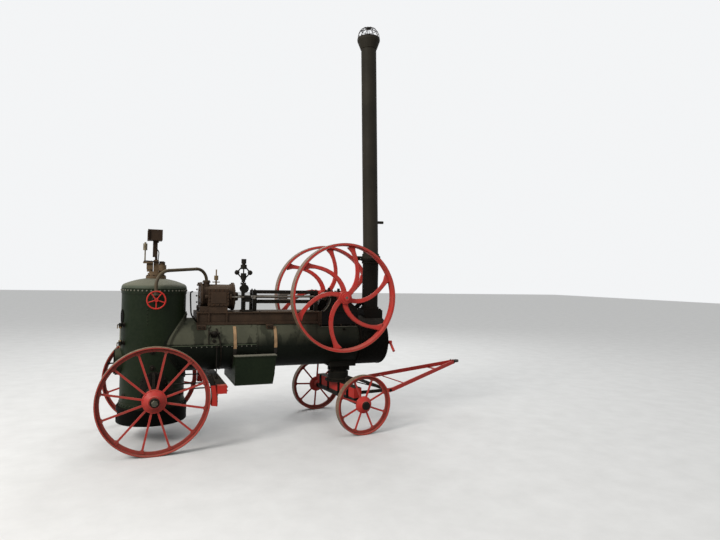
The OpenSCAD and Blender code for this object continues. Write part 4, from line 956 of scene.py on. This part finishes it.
def carriage_irons():
    """Black straps round the wooden beam, with their bolts, and the bolts of the hounds."""
    shape = bmesh.new()
    turn = Matrix.Translation(at(WHEELBASE, 0, 0)) @ CARRIAGE_TURN
    low, high = BEAM_Z, BEAM_Z + 0.167
    thick, half = 0.006, 0.034
    edge = BEAM_HALF + thick
    for y in (-0.42, -0.14, 0.22, 0.50):
        for x in (-edge, BEAM_HALF):
            slab(shape, (x, y - half, low - thick), (x + thick, y + half, high + 0.0045), turn)
        slab(shape, (-edge, y - half, low - thick), (edge, y + half, low - 0.0002), turn)
        for z in (low + 0.035, high - 0.035):
            for s in (-1, 1):
                nut(shape, on_carriage(s * edge, y, z), carriage_way(s, 0, 0), 0.010)
    pivot_x, _, pivot_z = DRAW_PIVOT
    for s in (-1, 1):
        for z in (-0.034, 0.034):
            for y in (-0.03, 0.03):
                nut(shape, on_carriage(0.074, s * 0.463 + y, pivot_z + z), carriage_way(1, 0, 0), 0.009)
        nut(shape, on_carriage(pivot_x, s * 0.511, pivot_z), carriage_way(0, s, 0), 0.016)
    piece("beam_straps", shape, "black_paint", "front_carriage")


# Fittings

def gauge_fittings():
    """The cocks of the water gauge, with their taps and the drain."""
    shape = bmesh.new()
    a = radians(207)
    across = Vector((-sin(a), cos(a), 0))
    foot = at(cos(a) * 0.448, sin(a) * 0.448, 0)
    for z, way in ((1.270, 1), (1.500, -1)):
        spot = foot + Vector((0, 0, z))
        turned(shape, [(0.020, 0.022), (0.034, 0.022), (0.040, 0.017), (0.040, 0.0)], spot, (0, 0, way), 6)
        tube(shape, [spot, spot - across * 0.075], 0.007, 8)
        tap = [spot - across * 0.06, spot - across * 0.078, spot - across * 0.082 - Vector((0, 0, 0.05))]
        tube(shape, eased(tap, 0.01), 0.006, 8)
    tube(shape, [foot + Vector((0, 0, z)) for z in (1.27, 1.21)], 0.008, 8)
    piece("gauge_fittings", shape, "dull_brass")


def washout_plugs():
    shape = bmesh.new()
    for degrees, z in ((-93.7, 1.175), (-93.1, 0.974), (-31, 0.60), (31, 0.60), (150, 0.60),
                       (-150, 0.60), (93.5, 1.175), (93.5, 0.974)):
        a = radians(degrees)
        way = Vector((cos(a), sin(a), 0))
        spot = at(0, 0, z) + way * FIREBOX_R
        turned(shape, [(-0.004, 0.032), (0.010, 0.032), (0.014, 0.028), (0.014, 0.0)], spot, way, 20)
        turned(shape, [(0.0, 0.016), (0.034, 0.016), (0.038, 0.013), (0.038, 0.0)], spot, way, 4)
    piece("washout_plugs", shape, "dark_iron")


def oval_cover():
    """The oval inspection cover at the rear of the firebox."""
    shape = bmesh.new()
    turn = radians(-164)
    front, back, rim = [], [], []
    for u, v in around(28, 0.062, 0.095):
        for ring, out, part in ((back, 0.001, 1.0), (rim, 0.006, 1.0), (front, 0.009, 0.93)):
            a = turn + u * part / FIREBOX_R
            r = FIREBOX_R + out
            ring.append(shape.verts.new(at(cos(a) * r, sin(a) * r, 1.60 + v * part)))
    for low, high in ((back, rim), (rim, front)):
        for i in range(28):
            shape.faces.new((low[i - 1], low[i], high[i], high[i - 1]))
    shape.faces.new(front)
    piece("oval_cover", shape, "black_paint")


def drain_pipe():
    shape = bmesh.new()
    corners = ((0.470, -0.10, 1.925), (0.432, -0.235, 1.92), (0.436, -0.25, 1.78), (0.445, -0.25, 1.62),
               (0.522, -0.25, 1.53))
    tube(shape, eased([at(*corner) for corner in corners], 0.05), 0.010)
    piece("cylinder_drain", shape, "black_paint")


def on_barrel(x, z, clear):
    """A point beside the barrel on the near side, clear of its plate."""
    return at(x, -sqrt(BARREL_R ** 2 - (z - BARREL_Z) ** 2) - clear, z)


def feed_pipes():
    """The thin pipes of the check valve, bent round the barrel, and their flanges."""
    shape = bmesh.new()
    for corners, radius in ((((0.769, 1.443), (0.804, 1.324), (0.827, 1.164), (0.841, 0.873)), 0.009),
                            (((0.700, 1.470), (0.672, 1.440), (0.665, 1.360), (0.665, 1.248)), 0.006)):
        path = []
        for (x0, z0), (x1, z1) in zip(corners, corners[1:]):
            path += [on_barrel(x0 + (x1 - x0) * i / 6, z0 + (z1 - z0) * i / 6, 0.010) for i in range(6)]
        tube(shape, path + [on_barrel(*corners[-1], 0.010)], radius, 8)
    for x, z in ((0.732, 1.378), (0.734, 1.286)):
        turned(shape, [(-0.012, 0.024), (0.016, 0.024), (0.020, 0.018), (0.020, 0.0)],
               on_barrel(x, z, 0.0), (0, -1, 0), 16)
    piece("feed_pipes", shape, "dark_iron")


def crutch_sleeve():
    """The clamped sleeve round the crutch's post."""
    shape = bmesh.new()
    slab(shape, at(-0.036, -0.029, 2.374), at(0.022, 0.029, 2.598))
    piece("crutch_sleeve", shape, "chimney_crutch", ease=0.005)


def bed_sole():
    """The sole plate between the barrel and the bed's bearing end, a painted highlight along its worn edge,
    and a lug.
    """
    plate, edge = bmesh.new(), bmesh.new()
    for side in (-1, 1):
        near, far = sorted((side * 0.205, side * 0.262))
        slab(plate, at(2.231, near, 1.436), at(2.846, far, 1.472))
        # A pale bar along the plate's edge: a painted highlight
        tube(edge, [at(2.236, side * 0.262, 1.440), at(2.842, side * 0.262, 1.440)], 0.004, 6)
        nut(plate, at(2.585, side * 0.298, 1.404), (0, side * 0.85, 0.52), 0.014)
    piece("bed_sole", plate, "black_paint", ease=0.003)
    piece("bed_sole_highlights", edge, "dust_and_highlight")


def latch_lever():
    """The red lever of the smokebox door's latch, its boss, and the bar that joins it to the door."""
    shape = bmesh.new()
    start, end = at(3.316, -0.338, 1.200), at(3.316, -0.470, 1.082)
    tube(shape, [start, end], 0.020)
    slab(shape, at(3.298, -0.340, 1.186), at(3.314, -0.230, 1.214))
    turned(shape, [(-0.026, 0.026), (0.02, 0.026), (0.024, 0.02), (0.024, 0)], start, (1, 0, 0), 16)
    piece("latch_lever", shape, "red_paint", body="smokebox_door")


def valve_gear():
    """The safety valve's two bars, its bent rod, and the nuts round the manhole under it."""
    shape = bmesh.new()
    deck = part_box("safety_valve")[1].z - 0.028
    for y in (-0.052, 0.052):
        tube(shape, [at(-0.140, y, deck + 0.012), at(0.120, y, deck - 0.004)], 0.007, 8)
        for x in (-0.135, -0.05):
            nut(shape, at(x, y, deck), (0, 0, 1), 0.011)
    rod = [at(0.030, -0.040, deck + 0.02), at(0.040, -0.046, deck + 0.14), at(-0.02, -0.04, deck + 0.20)]
    tube(shape, eased(rod, 0.03), 0.006, 8)
    for x, y in around(10, 0.110):
        nut(shape, at(0.012 + x, y, 2.126), (0, 0, 1), 0.009)
    piece("safety_valve_gear", shape, "dark_iron")


def wire_cage():
    """The spark arrestor of round wire, with its rings and its top disc."""
    way = Vector((-sin(STACK_LEAN), 0, cos(STACK_LEAN)))
    side = Vector((cos(STACK_LEAN), 0, sin(STACK_LEAN)))
    across = Vector((0, 1, 0))
    base = at(CHIMNEY_X, 0, FOLD_Z) + way * (STACK_LENGTH + 0.140 + 0.006)
    radius, height = 0.167, 0.168
    shape = bmesh.new()

    def spot(a, t):
        """A point on the cage, at an angle and at a height from 0 to 1."""
        r = radius * cos(t * pi / 2) ** 0.75 if t < 1 else 0
        up = way * height * sin(t * pi / 2)
        return base + (side * cos(a) + across * sin(a)) * r + up

    for a in circle(12):
        tube(shape, [spot(a, i / 12 * 0.93) for i in range(13)], 0.0042, 6)
    for t, r in ((0.0, 0.0065), (0.30, 0.0040), (0.58, 0.0040)):
        tube(shape, [spot(a, t) for a in circle(36)], r, 6, closed=True)
    turned(shape, [(-0.006, 0.0), (-0.006, 0.036), (0.004, 0.036), (0.010, 0.0)],
           base + way * (height - 0.004), way, 20)
    cage = piece("wire_cage", shape, "dark_iron", body="chimney")
    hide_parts("spark_arrestor")


def bearing_edge_highlights():
    """A pale bead along the rear edge of each main bearing: a painted highlight on its worn edge."""
    shape = bmesh.new()
    for side in (-1, 1):
        centre = CRANK + Vector((-0.384, 0, 0))
        tube(shape, [(centre.x + x, side * 0.258, centre.z + z)
                     for x, z in around(10, 0.251, first=-4, last=-56)], 0.006, 6)
    piece("bearing_edge_highlights", shape, "dust_and_highlight")


def brake_bolts():
    shape = bmesh.new()
    for side in (-1, 1):
        for z in (0.72, 0.765):
            nut(shape, at(0.839, side * 0.80, z), (1, 0, 0), 0.011)
        for z in (0.60, 0.68, 0.84):
            a = asin((z - REAR_R) / 0.71)
            spot = at(0.735 * cos(a) - 0.012, side * 0.829, z)
            nut(shape, spot, (cos(a), 0, sin(a)), 0.008)
    piece("brake_bolts", shape, "dark_iron")


def drawbar_bolts():
    shape = bmesh.new()
    rise = Matrix.Rotation(-DRAW_RISE, 4, "Y")
    turn = Matrix.Translation(on_carriage(*DRAW_PIVOT)) @ CARRIAGE_TURN @ rise
    up = turn.to_3x3() @ Vector((0, 0, 1))
    for x, y, z in ((1.168, 0.12, -0.018), (1.56, 0.03, 0.030)):
        for side in (1, -1):
            nut(shape, turn @ Vector((x, side * y, z)), up, 0.009)
    piece("drawbar_bolts", shape, "dark_iron", body="drawbar")


def add_pieces():
    for add in (firebox_rivets, barrel_rivets, smokebox_rivets, tank_rivets, bracket_rivets, cylinder_bolts,
                bed_bolts, chimney_bolts, wheel_bolts, carriage_irons, gauge_fittings, washout_plugs,
                oval_cover, drain_pipe, feed_pipes, crutch_sleeve, bed_sole, latch_lever, valve_gear,
                wire_cage, bearing_edge_highlights, brake_bolts, drawbar_bolts):
        add()


# Light, floor and camera

def set_camera():
    """The photographer's place: eye height, to the right-hand side of the firebox."""
    turn, rise, roll = (radians(degrees) for degrees in (22.78, 0.756, 1.217))
    ahead = Vector((sin(turn) * cos(rise), cos(turn) * cos(rise), sin(rise)))
    level = Vector((cos(turn), -sin(turn), 0.0))
    above = level.cross(ahead)
    across = level * cos(roll) + above * sin(roll)
    upright = above * cos(roll) - level * sin(roll)
    camera = new_object("camera", bpy.data.cameras.new("camera"))
    camera.data.sensor_width = 36.0
    camera.data.lens = 26.825
    place = Matrix((across, upright, -ahead)).transposed().to_4x4()
    place.translation = at(-0.252, -7.606, 2.168)
    camera.matrix_world = place
    bpy.context.scene.camera = camera


def background_rays(tree):
    """1 for what the camera sees, straight or in a reflection, and 0 for what lights the object."""
    path = put(tree, "LightPath").outputs
    seen = calc("MAXIMUM", path["Is Camera Ray"], path["Is Glossy Ray"])
    return calc("MAXIMUM", seen, path["Is Transmission Ray"])


def set_sky():
    """An overcast sky: soft light, brighter overhead, and a pale background."""
    world = bpy.data.worlds.new("overcast")
    bpy.context.scene.world = world
    world.use_nodes = True
    tree = world.node_tree
    tree.nodes.clear()
    height = parts_of(put(tree, "TexCoord").outputs["Generated"])["Z"]
    sky = blend(spread(height, -0.05, 0.8), (0.42, 0.44, 0.46, 1), (0.96, 0.98, 1.0, 1))
    light = put(tree, "Background", {"Color": sky, "Strength": 0.80})
    plain = put(tree, "Background", {"Color": (0.90, 0.91, 0.92, 1), "Strength": 1.0})
    mixed = put(tree, "MixShader", {0: background_rays(tree), 1: light.outputs[0], 2: plain.outputs[0]})
    put(tree, "OutputWorld", {"Surface": mixed.outputs[0]})


LAMP_TARGET = Vector((0, 0, 1.6))


def add_lamp(name, place, size, power, tint):
    lamp = bpy.data.lights.new(name, "AREA")
    lamp.shape = "DISK"
    lamp.size = size
    lamp.energy = power
    lamp.color = tint
    holder = new_object(name, lamp)
    holder.location = place
    holder.rotation_mode = "QUATERNION"
    holder.rotation_quaternion = (LAMP_TARGET - Vector(place)).to_track_quat("-Z", "Y")


def set_floor():
    half = 60.0
    mesh = bpy.data.meshes.new("floor")
    corners = [(-half, -half, 0), (half, -half, 0), (half, half, 0), (-half, half, 0)]
    mesh.from_pydata(corners, [], [(0, 1, 2, 3)])
    floor = new_object("floor", mesh)
    material, tree, shader = new_material("pale_floor")
    grain = noise(object_place(tree), 3.0, 6.0, 0.6)
    tint = blend(spread(grain, 0.3, 0.7), (0.66, 0.65, 0.63, 1), (0.72, 0.71, 0.69, 1))
    # The object is lit by a floor as dark as gravel
    tint = blend(background_rays(tree), (0.11, 0.105, 0.10, 1), tint)
    link(tint, shader.inputs["Base Color"])
    shader.inputs["Roughness"].default_value = 0.9
    mesh.materials.append(material)


bpy.context.scene.view_settings.view_transform = "Standard"
set_camera()
set_sky()
add_lamp("left_sky", (-11.0, -6.0, 8.0), 5.0, 1300, (1.0, 0.98, 0.95))
add_lamp("far_sky", (3.0, 9.0, 9.0), 6.0, 450, (0.95, 0.98, 1.0))
set_floor()
dress_nodes()
add_pieces()
